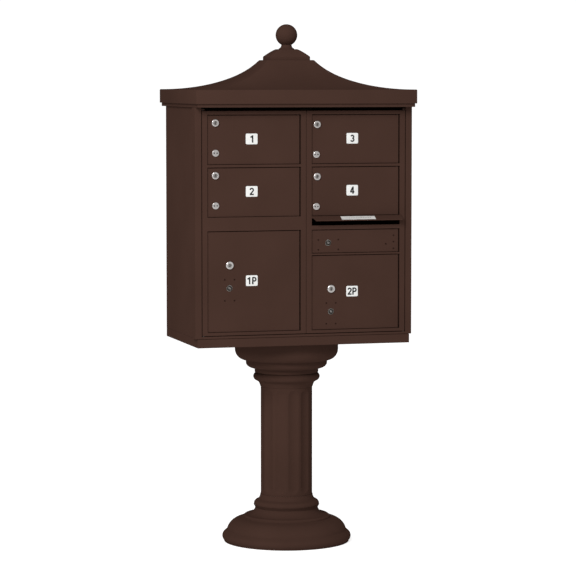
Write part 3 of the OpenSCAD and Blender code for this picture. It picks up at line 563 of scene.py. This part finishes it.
# %% Capital
capital_low, capital_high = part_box("capital_cover")
z = capital_low.z
capital_outline = [(column + 1.5 * MM, z), (column + 4 * MM, z + 8 * MM), (column + 8 * MM, z + 16 * MM)]
capital_outline += arc((column + 10.5 * MM, z + 35 * MM), (16 * MM, 15 * MM), -70, 68, 16)
capital_outline += [(column + 21.5 * MM, z + 51 * MM), (column + 21.5 * MM, z + 65 * MM)]
capital_outline += arc((column + 24.5 * MM, z + 84 * MM), (28 * MM, 19 * MM), -90, 0, 12)
capital_outline += [(column + 52.5 * MM, z + 95 * MM), (column + 57.5 * MM, z + 95 * MM)]
capital_outline += arc((column + 57.5 * MM, z + 133 * MM), (34 * MM, 38 * MM), -90, 0, 14)
capital_outline += [(column + 91.5 * MM, capital_high.z)]
capital = turned("capital_moulding", capital_outline)
shell(capital, cover_wall, moulding_angle)
fit(capital, "capital_cover", bronze_paint)
print("capital outline points:", len(capital_outline))

# %% [markdown]
# ### The ball
# The finial's outline is a flared neck that runs into a ball, and the two arcs meet where the
# ball is as wide as the neck.

# %% Ball and neck
tier_low, tier_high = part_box("cap_tier")
ball_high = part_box("finial")[1]
ball_r = ball_high.x
ball_z = ball_high.z - ball_r
neck_r = 18 * MM
neck_foot = 27 * MM
meet = ball_z - math.sqrt(ball_r**2 - neck_r**2)
ball_outline = [(0, tier_high.z), (neck_foot, tier_high.z), (neck_foot, tier_high.z + 2 * MM)]
ball_outline += arc(
    (neck_foot, meet), (neck_foot - neck_r, meet - tier_high.z - 3 * MM), 270, 180, 10
)
low_angle = -math.degrees(math.acos(neck_r / ball_r))
ball_outline += arc((0, ball_z), (ball_r, ball_r), low_angle, 90, 40)
ball = turned("ball_finial", ball_outline, 96)
clean(ball)
fit(ball, "finial", bronze_paint)
print("ball centre height:", round(ball_z, 4))

# %% [markdown]
# ## The fluted column
# Twelve shallow flutes with rounded ends run up the sleeve. A boolean with long capsules would
# cut them, but leaves ragged faces at the ends. Instead we extrude a fine ring upwards, with
# close rows only where the flutes end, and then press each point in by a formula: the depth
# falls off with the square of its distance from the flute's middle line.

# %% Column
FLUTES = 12
flute_half = 19 * MM
flute_depth = 5 * MM
plain_end = 9 * MM
flute_low = column_low.z + plain_end + flute_half
flute_high = column_high.z - plain_end - flute_half
end_rows = 16
middle_rows = 4
sleeve_wall = 5 * MM
rest()
bpy.ops.mesh.primitive_circle_add(vertices=20 * FLUTES, radius=column, location=(0, 0, column_low.z))
sleeve = bpy.context.object
sleeve.name = "fluted_sleeve"
settle(sleeve)
edit(sleeve, "EDGE")
bpy.ops.mesh.select_all(action="SELECT")
row = (flute_low - column_low.z) / end_rows
middle = (flute_high - flute_low) / middle_rows
for step in [row] * end_rows + [middle] * middle_rows + [row] * end_rows:
    bpy.ops.mesh.extrude_region_move(TRANSFORM_OT_translate={"value": (0, 0, step)})
rest()
for vertex in sleeve.data.vertices:
    turn = math.atan2(vertex.co.y, vertex.co.x)
    nearest = round(turn * FLUTES / (2 * math.pi)) * 2 * math.pi / FLUTES
    aside = (turn - nearest) * column
    past = max(flute_low - vertex.co.z, vertex.co.z - flute_high, 0)
    distance = min(math.hypot(aside, past) / flute_half, 1)
    shrink = 1 - flute_depth * (1 - distance**2) / column
    vertex.co.x *= shrink
    vertex.co.y *= shrink
shell(sleeve, sleeve_wall, moulding_angle)
fit(sleeve, "column_sleeve", bronze_paint)
print("column rows:", 2 * end_rows + middle_rows)

# %% [markdown]
# ## The cap
# The roof rises from a flat fascia in a hollow curve, like a pagoda's, to a small upper tier
# with its own dome. Both start as a block whose top face is extruded and scaled, step by step,
# along the curve. The hips are then bevelled, because a pressed or moulded cap has no sharp
# ridge.


# %% Raising a roof
LEVEL = 1e-5


def raised(name, low, high, levels, radius):
    """A block whose top face climbs through levels of (half width, half depth, height)."""
    piece = block(name, low, high)
    edit(piece)
    pick_faces(piece, lambda centre, normal: normal.z > 0.9)
    here = (high[0], high[1], high[2])
    for there in levels:
        bpy.ops.mesh.extrude_region_move(TRANSFORM_OT_translate={"value": (0, 0, there[2] - here[2])})
        bpy.ops.transform.resize(value=(there[0] / here[0], there[1] / here[1], 1))
        here = there
    pick_faces(piece, lambda centre, normal: normal.z < -0.9 and centre.z < low[2] + MM)
    bpy.ops.mesh.delete(type="FACE")
    bpy.ops.mesh.select_mode(type="EDGE")
    first, last = high[2], here[2]
    pick_edges(
        piece,
        lambda a, b: abs(a.z - b.z) > LEVEL
        or (abs(a.z - first) < LEVEL and abs(b.z - first) < LEVEL)
        or (abs(a.z - last) < LEVEL and abs(b.z - last) < LEVEL),
    )
    bpy.ops.mesh.bevel(offset=radius, segments=3, affect="EDGES")
    return piece


print("roof helper ready")

# %% Roof
roof_low, roof_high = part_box("cap_roof")
fascia_h = 48 * MM
eave = roof_low.z + fascia_h
tier_ledge = 12 * MM
crown_x = tier_high.x + tier_ledge
crown_y = tier_high.y + tier_ledge * tier_high.y / tier_high.x
roof_sheet = 2.5 * MM
roof_curve = 2.2
flare = 0.2
flare_curve = 8
roof_angle = 30
roof_steps = 28
roof_levels = []
for k in range(1, roof_steps + 1):
    s = k / roof_steps
    rise = (1 - flare) * s**roof_curve + flare * s**flare_curve
    roof_levels.append(
        (
            roof_high.x + s * (crown_x - roof_high.x),
            roof_high.y + s * (crown_y - roof_high.y),
            eave + rise * (roof_high.z - eave),
        )
    )
roof = raised("pagoda_roof", roof_low, (roof_high.x, roof_high.y, eave), roof_levels, roof_sheet)
shell(roof, roof_sheet, roof_angle)
fit(roof, "cap_roof", bronze_paint)
print("roof rises", round(roof_high.z - eave, 4))

# %% Upper tier
tier_edge = tier_low.z + 12 * MM
tier_sheet = 2 * MM
tier_round = 1.6 * MM
dome_curve = 1.25
dome_steps = 14
dome_levels = []
for k in range(1, dome_steps + 1):
    s = k / dome_steps
    dome_levels.append(
        (
            tier_high.x + s * (neck_foot + 4 * MM - tier_high.x),
            tier_high.y + s * (neck_foot + 1 * MM - tier_high.y),
            tier_edge + (tier_high.z - tier_edge) * (1 - (1 - s) ** dome_curve),
        )
    )
tier = raised("upper_tier", tier_low, (tier_high.x, tier_high.y, tier_edge), dome_levels, tier_round)
shell(tier, tier_sheet, roof_angle)
fit(tier, "cap_tier", bronze_paint)
print("tier top", round(tier_high.z, 4))

# %% [markdown]
# ## Locks
# A cam lock is a threaded barrel with a rounded head, held by a nut. Its plug turns inside the
# bore. We turn each model at the origin, on the Y axis, and then copy or move it to its door.
# The face of the door is the plane y = 0 of these models.

# %% Lock sizes
door_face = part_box("door_1_leaf")[0].y
head_out = door_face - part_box("door_1_lock")[0].y
barrel_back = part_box("door_1_lock")[1].y - door_face
plug_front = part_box("door_1_cam")[0].y - door_face
cam_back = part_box("door_1_cam")[1].y - door_face
mail_head_r = 12.7 * MM
parcel_head_r = 14 * MM
barrel_r = 9.5 * MM
plug_r = 6.4 * MM
bore_r = plug_r + 0.05 * MM
nut_r = 13 * MM
nut_h = 5 * MM
thread = 1.25 * MM
sheet = 2 * MM
print("head stands out", round(head_out, 4), "barrel reaches back", round(barrel_back, 4))


# %% Barrel
def barrel(name, head_r, rounding):
    """A threaded barrel with a rounded head, its bore and its hexagon nut."""
    front = -head_out
    outline = [(bore_r, barrel_back), (bore_r, front + 0.9 * MM), (bore_r + 0.5 * MM, front + 0.3 * MM)]
    outline += [(head_r - rounding - 1.2 * MM, front + 0.15 * MM)]
    outline += arc((head_r - rounding, front + rounding), (rounding, rounding), -90, 0, 6)
    outline += [(head_r, -0.4 * MM), (head_r - 0.5 * MM, 0), (barrel_r, 0)]
    turns = int((barrel_back - thread) / thread)
    for k in range(turns):
        outline += [(barrel_r, (k + 0.4) * thread), (barrel_r - 0.6 * MM, (k + 0.9) * thread)]
    outline += [(barrel_r - 0.8 * MM, barrel_back), (bore_r, barrel_back)]
    piece = turned(name, outline, 64, "Y")
    clean(piece, 40)
    nut = rod(6, nut_r, sheet, sheet + nut_h)
    edit(nut)
    pick_faces(nut, lambda centre, normal: abs(normal.y) > 0.9)
    bpy.ops.mesh.inset(thickness=nut_r - barrel_r - 1.2 * MM)
    bpy.ops.mesh.delete(type="FACE")
    rest()
    run_modifier(nut, "SOLIDIFY", thickness=0.8 * MM, offset=-1)
    ease(nut, 0.4 * MM)
    smooth(nut, 30)
    return join([piece, nut], name)


mail_barrel = barrel("mail_barrel_model", mail_head_r, 2.2 * MM)
parcel_barrel = barrel("parcel_barrel_model", parcel_head_r, 3.2 * MM)
print("barrels:", len(mail_barrel.data.polygons), len(parcel_barrel.data.polygons))

# %% [markdown]
# ### Blank plug
# Each mail door has a spare lock hole below its lock, closed by a round plug with two holes for a
# pin spanner. We cut the holes with two rods, and put dark floors in them as painted shade, so
# that the shallow holes read deep.


# %% Blank plug
def cut(piece, cutters):
    """Cut shapes out of a piece with a boolean, and remove the cutters."""
    for cutter in cutters:
        run_modifier(piece, "BOOLEAN", operation="DIFFERENCE", solver="EXACT", object=cutter)
        bpy.data.objects.remove(cutter)


def two_rods(radius, front, back):
    """Two short rods along Y, where a pin spanner grips the plug."""
    return [rod(24, radius, front, back, side * spanner_half) for side in (-1, 1)]


blank_head_r = 12 * MM
blank_out = 4 * MM
blank_rim = 1.6 * MM
blank_neck_r = 8 * MM
blank_nut_r = 10 * MM
spanner_half = 5 * MM
blank_outline = [(0, -blank_out)]
blank_outline += [(blank_head_r - 3 * MM, -blank_out)]
blank_outline += arc((blank_head_r - blank_rim, blank_rim - blank_out), (blank_rim, blank_rim), -90, 0, 5)
blank_outline += [(blank_head_r, 0), (blank_neck_r, 0), (blank_neck_r, sheet), (blank_nut_r, sheet)]
blank_outline += [(blank_nut_r, 6 * MM), (blank_neck_r, 6 * MM), (blank_neck_r, 9 * MM), (0, 9 * MM)]
blank_model = turned("blank_plug_model", blank_outline, 64, "Y")
clean(blank_model)
cut(blank_model, two_rods(2.4 * MM, -blank_out - MM, 0.5 * MM))
# Dark discs fill the spanner holes to just below the face: painted shade, so the holes read deep.
spanner_hole_shade = join(two_rods(2.35 * MM, -blank_out + 0.5 * MM, 0.4 * MM), "spanner_hole_shade_model")
smooth(blank_model, 35)
print("blank plug faces:", len(blank_model.data.polygons))

# %% [markdown]
# ### Plug and cam
# The plug's face has a shallow ring and a keyway with a side ward. Behind the door it ends in a
# flat steel cam with a round tip, held by a screw. A mail door's cam hangs down when unlocked,
# and a parcel door's stands up.


# %% Plug and cam
cam_half = 7 * MM
cam_sheet = 2.5 * MM
cam_screw_h = 2.5 * MM


def plug_and_cam(name, node):
    """The turning half of a lock: plug, cam and screw, as long as its CAD node."""
    low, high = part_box(node)
    x, _, z = joint_at[node.replace("_cam", "_key_turn")]
    down, up = z - low.z, high.z - z
    hangs = down >= up
    outline = [(0, plug_front), (plug_r - 2.2 * MM, plug_front), (plug_r - 1.8 * MM, plug_front + 0.35 * MM)]
    outline += [(plug_r - 1.3 * MM, plug_front + 0.35 * MM), (plug_r - 0.9 * MM, plug_front)]
    outline += [(plug_r - 0.3 * MM, plug_front), (plug_r, plug_front + 0.3 * MM)]
    cam_front = cam_back - cam_sheet - cam_screw_h
    outline += [(plug_r, cam_front), (0, cam_front)]
    piece = turned(name, outline, 48, "Y")
    clean(piece)
    before, deep = plug_front - MM, plug_front + 7 * MM
    slot = block("slot", (-0.9 * MM, before, -4.4 * MM), (0.9 * MM, deep, 4.0 * MM))
    ward = block("ward", (0, before, -1.2 * MM), (2.3 * MM, deep, 0.6 * MM))
    cut(piece, [slot, ward])
    smooth(piece, 35)
    plate = block(
        "plate",
        (-cam_half, cam_front, -cam_half - MM),
        (cam_half, cam_front + cam_sheet, max(down, up)),
    )
    edit(plate, "EDGE")
    pick_edges(plate, lambda a, b: abs(a.y - b.y) > MM and a.z > 0)
    bpy.ops.mesh.bevel(offset=cam_half - 0.05 * MM, segments=8, affect="EDGES")
    pick_edges(plate, lambda a, b: abs(a.y - b.y) > MM and a.z < 0)
    bpy.ops.mesh.bevel(offset=4 * MM, segments=5, affect="EDGES")
    rest()
    ease(plate, 0.3 * MM)
    if hangs:
        plate.data.transform(Matrix.Rotation(math.pi, 4, "Y"))
    smooth(plate, 30)
    screw = rod(6, 4.5 * MM, cam_back - cam_screw_h, cam_back)
    ease(screw, 0.5 * MM)
    whole = join([piece, plate, screw], name)
    whole.location = (x, door_face, z)
    settle(whole)
    return whole


for door in MAIL_DOORS + PARCEL_DOORS:
    turning = plug_and_cam(door + "_plug", door + "_cam")
    fit(turning, door + "_cam", plug_steel)
print("plugs:", len(MAIL_DOORS + PARCEL_DOORS))


# %% Lock barrels and blank plugs on their doors
def lower_part(node):
    """The middle, in x and z, of what lies in the lower half of a CAD node."""
    low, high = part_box(node)
    middle_z = (low.z + high.z) / 2
    points = [v.co for v in frame["nodes"][node].data.vertices if v.co.z < middle_z]
    xs = [p.x for p in points]
    zs = [p.z for p in points]
    return (min(xs) + max(xs)) / 2, (min(zs) + max(zs)) / 2


for door in MAIL_DOORS:
    x, _, z = joint_at[door + "_key_turn"]
    fit(copy_to(mail_barrel, door + "_barrel", (x, door_face, z)), door + "_lock", lock_chrome)
    bx, bz = lower_part(door + "_lock")
    plug = copy_to(blank_model, door + "_blank_plug", (bx, door_face, bz))
    fit(plug, door + "_lock", lock_chrome, replaces=False)
    # The dark discs in the spanner holes are painted shade.
    hole_shade = copy_to(spanner_hole_shade, door + "_hole_shade_fill", (bx, door_face, bz))
    fit(hole_shade, door + "_lock", shade_black_paint, replaces=False)
for door in PARCEL_DOORS:
    x, _, z = joint_at[door + "_key_turn"]
    fit(copy_to(parcel_barrel, door + "_barrel", (x, door_face, z)), door + "_lock", lock_chrome)
for model in (mail_barrel, parcel_barrel, blank_model, spanner_hole_shade):
    bpy.data.objects.remove(model)
print("locks placed")

# %% [markdown]
# ### Carrier locks
# The mail carrier's own lock sits in a steel case behind each parcel door and behind the
# outgoing door. From the front only its cylinder shows, in a round hole: a dark ring with a
# small bright core. Four small painted screws stand round it; their coat is darker than the
# door's, as painted shade round the heads.

# %% Carrier locks
screw_model = turned(
    "screw_model",
    [(0, -0.55 * MM), (0.7 * MM, -0.6 * MM), (1.1 * MM, -0.8 * MM)]
    + arc((1.6 * MM, 0), (1.35 * MM, 0.8 * MM), -90, 0, 5)
    + [(2 * MM, 0), (2 * MM, sheet), (0, sheet)],
    24,
    "Y",
)
clean(screw_model)


def without_heads(piece):
    """Take off whatever stands before the door's inner face, and close the holes it leaves."""
    face_limit = door_face + sheet - 0.2 * MM
    edit(piece)
    pick_faces(piece, lambda centre, normal: centre.y < face_limit)
    bpy.ops.mesh.delete(type="FACE")
    bpy.ops.mesh.select_all(action="SELECT")
    bpy.ops.mesh.select_mode(type="EDGE")
    bpy.ops.mesh.fill_holes(sides=0)
    rest()


case_rise = 6.5 * MM
cylinder_r = 9 * MM
core_bore = 4.3 * MM
core_r = 4 * MM
cylinder_back = sheet + 0.5 * MM
long_span = 36 * MM
short_span = 17 * MM


def carrier_lock(door):
    """The case, its cylinder, and the screws that hold it."""
    node = door + "_carrier_lock"
    low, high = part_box(node)
    x, z = (low.x + high.x) / 2, (low.z + high.z) / 2 + case_rise
    without_heads(folded(node, 0.5 * MM, zinc_steel))
    ring = [(core_bore, 1.5 * MM), (5.8 * MM, 0.6 * MM), (6.4 * MM, 0.6 * MM), (6.7 * MM, -0.7 * MM)]
    ring += [(8.2 * MM, -1 * MM), (cylinder_r, -0.4 * MM), (cylinder_r, cylinder_back)]
    ring += [(core_bore, cylinder_back), (core_bore, 1.5 * MM)]
    core = [(0, 1.2 * MM), (1.2 * MM, 1.2 * MM), (1.4 * MM, 0), (1.9 * MM, -0.4 * MM)]
    core += [(3.4 * MM, -0.4 * MM), (core_r, 0.2 * MM), (core_r, sheet), (0, sheet)]
    for part, outline, finish in (("ring", ring, pin_steel), ("core", core, plug_steel)):
        cylinder = turned(f"{door}_carrier_{part}", outline, 48, "Y")
        clean(cylinder)
        cylinder.location = (x, door_face, z)
        settle(cylinder)
        fit(cylinder, node, finish, replaces=False)
    wide = high.x - low.x > high.z - low.z
    span = (long_span, short_span) if wide else (short_span, long_span)
    screws = []
    for sx in (-1, 1):
        for sz in (-1, 1):
            place = (x + sx * span[0], door_face, z - case_rise + sz * span[1])
            screws.append(copy_to(screw_model, f"{door}_screw", place))
    fit(join(screws, door + "_case_screws"), node, screw_shade_paint, replaces=False)


for door in CARRIER_DOORS:
    carrier_lock(door)
print("carrier locks:", len(CARRIER_DOORS))

# %% The outgoing door's strap
without_heads(folded("outgoing_strap", 0.4 * MM, zinc_steel))
strap_low, strap_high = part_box("outgoing_strap")
strap_x = (strap_low.x + strap_high.x) / 2
strap_z = (strap_low.z + strap_high.z) / 2
rivet_places = [(14, 23), (14, 1), (14, -22), (-14, -6)]
rivet_out = 0.02 * MM
rivets = []
for dx, dz in rivet_places:
    place = (strap_x + dx * MM, door_face - rivet_out, strap_z + dz * MM)
    rivets.append(copy_to(screw_model, "rivet", place))
# The rivets get the darker screw coat, which is painted shade round their heads.
fit(join(rivets, "outgoing_rivets"), "outgoing_strap", screw_shade_paint, replaces=False)
bpy.data.objects.remove(screw_model)
print("rivets:", len(rivets))

# %% [markdown]
# ## Number plates
# Each plate is a small moulded tile with round corners and a soft edge. The tile starts as a
# block. Its four short edges are bevelled to the corner radius, and then the front rim is eased.
# The numerals are bold strokes: a thick wire is laid along each stroke's middle line, made a
# mesh, and pressed flat onto the tile. A sign is one unit high, and its strokes are points in
# that unit.

# %% Strokes
GLYPHS = {
    "1": [[(0.05, 0.70), (0.37, 0.93)], [(0.35, 0), (0.35, 1)]],
    "2": [
        arc((0.31, 0.69), (0.22, 0.22), 175, -30, 12) + [(0.12, 0.12)],
        [(0.02, 0.09), (0.60, 0.09)],
    ],
    "3": [
        arc((0.29, 0.70), (0.20, 0.21), 160, -90, 12),
        arc((0.29, 0.30), (0.23, 0.21), 90, -160, 12),
    ],
    "4": [[(0.44, 0), (0.44, 1)], [(0.40, 0.92), (0.10, 0.32)], [(0.02, 0.28), (0.64, 0.28)]],
    "P": [
        [(0.12, 0), (0.12, 1)],
        [(0.12, 0.91), (0.34, 0.91)] + arc((0.34, 0.68), (0.22, 0.23), 90, -90, 10) + [(0.12, 0.45)],
    ],
}
STROKE = 0.205
ADVANCE = 0.68
SIGN_HEIGHT = 25 * MM
SIGN_RELIEF = 0.3 * MM


def bold_sign(name, text, middle):
    """The signs of a text as flattened wires, centred on a point."""
    strokes = []
    for place, sign in enumerate(text):
        for path in GLYPHS[sign]:
            wire = bpy.data.curves.new(name, "CURVE")
            wire.dimensions = "3D"
            wire.bevel_depth = STROKE / 2
            wire.bevel_resolution = 3
            wire.use_fill_caps = True
            line = wire.splines.new("POLY")
            line.points.add(len(path) - 1)
            for point, (x, z) in zip(line.points, path):
                point.co = (x + place * ADVANCE, 0, z, 1)
            stroke = bpy.data.objects.new(name, wire)
            bpy.context.scene.collection.objects.link(stroke)
            choose(stroke)
            bpy.ops.object.convert(target="MESH")
            strokes.append(bpy.context.object)
    whole = join(strokes, name)
    corners = [Vector(c) for c in whole.bound_box]
    whole.data.transform(Matrix.Translation(-sum(corners, Vector()) / 8))
    whole.data.transform(Matrix.Diagonal((SIGN_HEIGHT, SIGN_RELIEF / STROKE, SIGN_HEIGHT, 1)))
    whole.data.transform(Matrix.Translation(middle))
    clean(whole, 20)
    return whole


print("signs:", " ".join(GLYPHS))


# %% Number plates
corner_r = 4 * MM
rim_r = 0.35 * MM


def number_plate(node, text):
    """The tile and its numeral, which stand for the CAD plate."""
    low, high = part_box(node)
    tile = block(node + "_tile", low, high)
    edit(tile, "EDGE")
    pick_edges(tile, lambda a, b: abs(a.y - b.y) > 0.5 * MM)
    bpy.ops.mesh.bevel(offset=corner_r, segments=6, affect="EDGES")
    pick_edges(tile, lambda a, b: a.y < low.y + 0.1 * MM and b.y < low.y + 0.1 * MM)
    bpy.ops.mesh.bevel(offset=rim_r, segments=3, affect="EDGES")
    clean(tile, 35)
    fit(tile, node, plate_white)
    centre = Vector(((low.x + high.x) / 2, low.y, (low.z + high.z) / 2))
    fit(bold_sign(node + "_sign", text, centre), node, numeral_black, replaces=False)


PLATE_TEXT = {
    "door_1": "1", "door_2": "2", "door_3": "3", "door_4": "4", "parcel_1": "1P", "parcel_2": "2P"
}
for door, text in PLATE_TEXT.items():
    number_plate(door + "_plate", text)
print("plates:", len(PLATE_TEXT))

# %% [markdown]
# ## The label on the hood
# A thin bright strip lies on the hood's slope, with a row of small raised arrowheads that point
# down to the slot. They say where letters go in without any lettering. The strip's tilt is
# measured from its CAD box: run over rise gives the angle of the slope.

# %% Hood label
label_low, label_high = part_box("hood_label")
slope = math.atan2(label_high.z - label_low.z, label_high.y - label_low.y)
folded("hood_label", 0.15 * MM, label_film)
marks = []
mark_count = 15
mark_r = 2.3 * MM
mark_relief = 0.3 * MM
marked_share = 0.76
mark_pitch = (label_high.x - label_low.x) * marked_share / mark_count
label_middle = (label_low + label_high) / 2
for k in range(mark_count):
    rest()
    bpy.ops.mesh.primitive_cylinder_add(
        vertices=3, radius=mark_r, depth=mark_relief, rotation=(math.pi / 2, math.pi, 0)
    )
    mark = bpy.context.object
    settle(mark)
    mark.data.transform(Matrix.Rotation(-(math.pi / 2 - slope), 4, "X"))
    along = (k - (mark_count - 1) / 2) * mark_pitch
    outwards = Vector((0, -math.sin(slope), math.cos(slope))) * mark_relief
    mark.data.transform(Matrix.Translation(label_middle + Vector((along, 0, 0)) + outwards))
    marks.append(mark)
fit(join(marks, "label_marks"), "hood_label", label_ink, replaces=False)
print("slope", round(math.degrees(slope), 1), "degrees; marks:", mark_count)

# %% [markdown]
# ## Floor, light and sky
# A product shot on white uses an overexposed floor and backdrop. The sky is plain white to the
# camera but lights the scene only softly. The floor glows faintly, and more to the camera, so that
# both clip to white. One large soft panel stands high on the front left, so that forms turn
# darker to the right.

# %% Floor
camera_glow = 0.6
floor_glow = 0.1
rest()
bpy.ops.mesh.primitive_plane_add(size=120, location=(0, 0, 0))
floor = bpy.context.object
floor.name = "studio_floor"
settle(floor)
floor_paint, floor_shader, floor_where = blank_material("floor_paint", 0.8)
floor_tone = add_noise(floor_paint, floor_where, 2.0)
floor_paint.node_tree.links.new(
    add_ramp(floor_paint, floor_tone, 0.2, 0.8, ((0.86, 0.86, 0.86), (0.90, 0.90, 0.90))),
    floor_shader.inputs["Base Color"],
)
floor_shader.inputs["Emission Color"].default_value = (1, 1, 1, 1)
eye = floor_paint.node_tree.nodes.new("ShaderNodeLightPath")
glow = floor_paint.node_tree.nodes.new("ShaderNodeMath")
glow.operation = "MULTIPLY_ADD"
glow.inputs[1].default_value = camera_glow
glow.inputs[2].default_value = floor_glow
floor_paint.node_tree.links.new(eye.outputs["Is Camera Ray"], glow.inputs[0])
floor_paint.node_tree.links.new(glow.outputs["Value"], floor_shader.inputs["Emission Strength"])
floor.data.materials.append(floor_paint)
print("floor ready")

# %% Soft panel
panel_place = Vector((-3.5, -4.6, 4.4))
panel_aim = Vector((0, 0, 1.1))
panel_light = bpy.data.lights.new("front_panel", "AREA")
panel_light.shape = "RECTANGLE"
panel_light.size = 2.6
panel_light.size_y = 2.6
panel_light.energy = 280
panel = bpy.data.objects.new("front_panel", panel_light)
bpy.context.scene.collection.objects.link(panel)
panel.location = panel_place
panel.rotation_euler = (panel_aim - panel_place).to_track_quat("-Z", "Y").to_euler()
print("panel power:", panel_light.energy)

# %% Sky
sky_light = 0.42
sky_seen = 1.06
world = bpy.data.worlds.new("studio_sky")
bpy.context.scene.world = world
world.use_nodes = True
sky = world.node_tree.nodes["Background"]
sky.inputs["Color"].default_value = (1, 1, 1, 1)
strength = world.node_tree.nodes.new("ShaderNodeMapRange")
strength.inputs["To Min"].default_value = sky_light
strength.inputs["To Max"].default_value = sky_seen
sky_eye = world.node_tree.nodes.new("ShaderNodeLightPath")
world.node_tree.links.new(sky_eye.outputs["Is Camera Ray"], strength.inputs["Value"])
world.node_tree.links.new(strength.outputs["Result"], sky.inputs["Strength"])
bpy.context.scene.view_settings.view_transform = "Standard"
print("sky light:", sky_light)
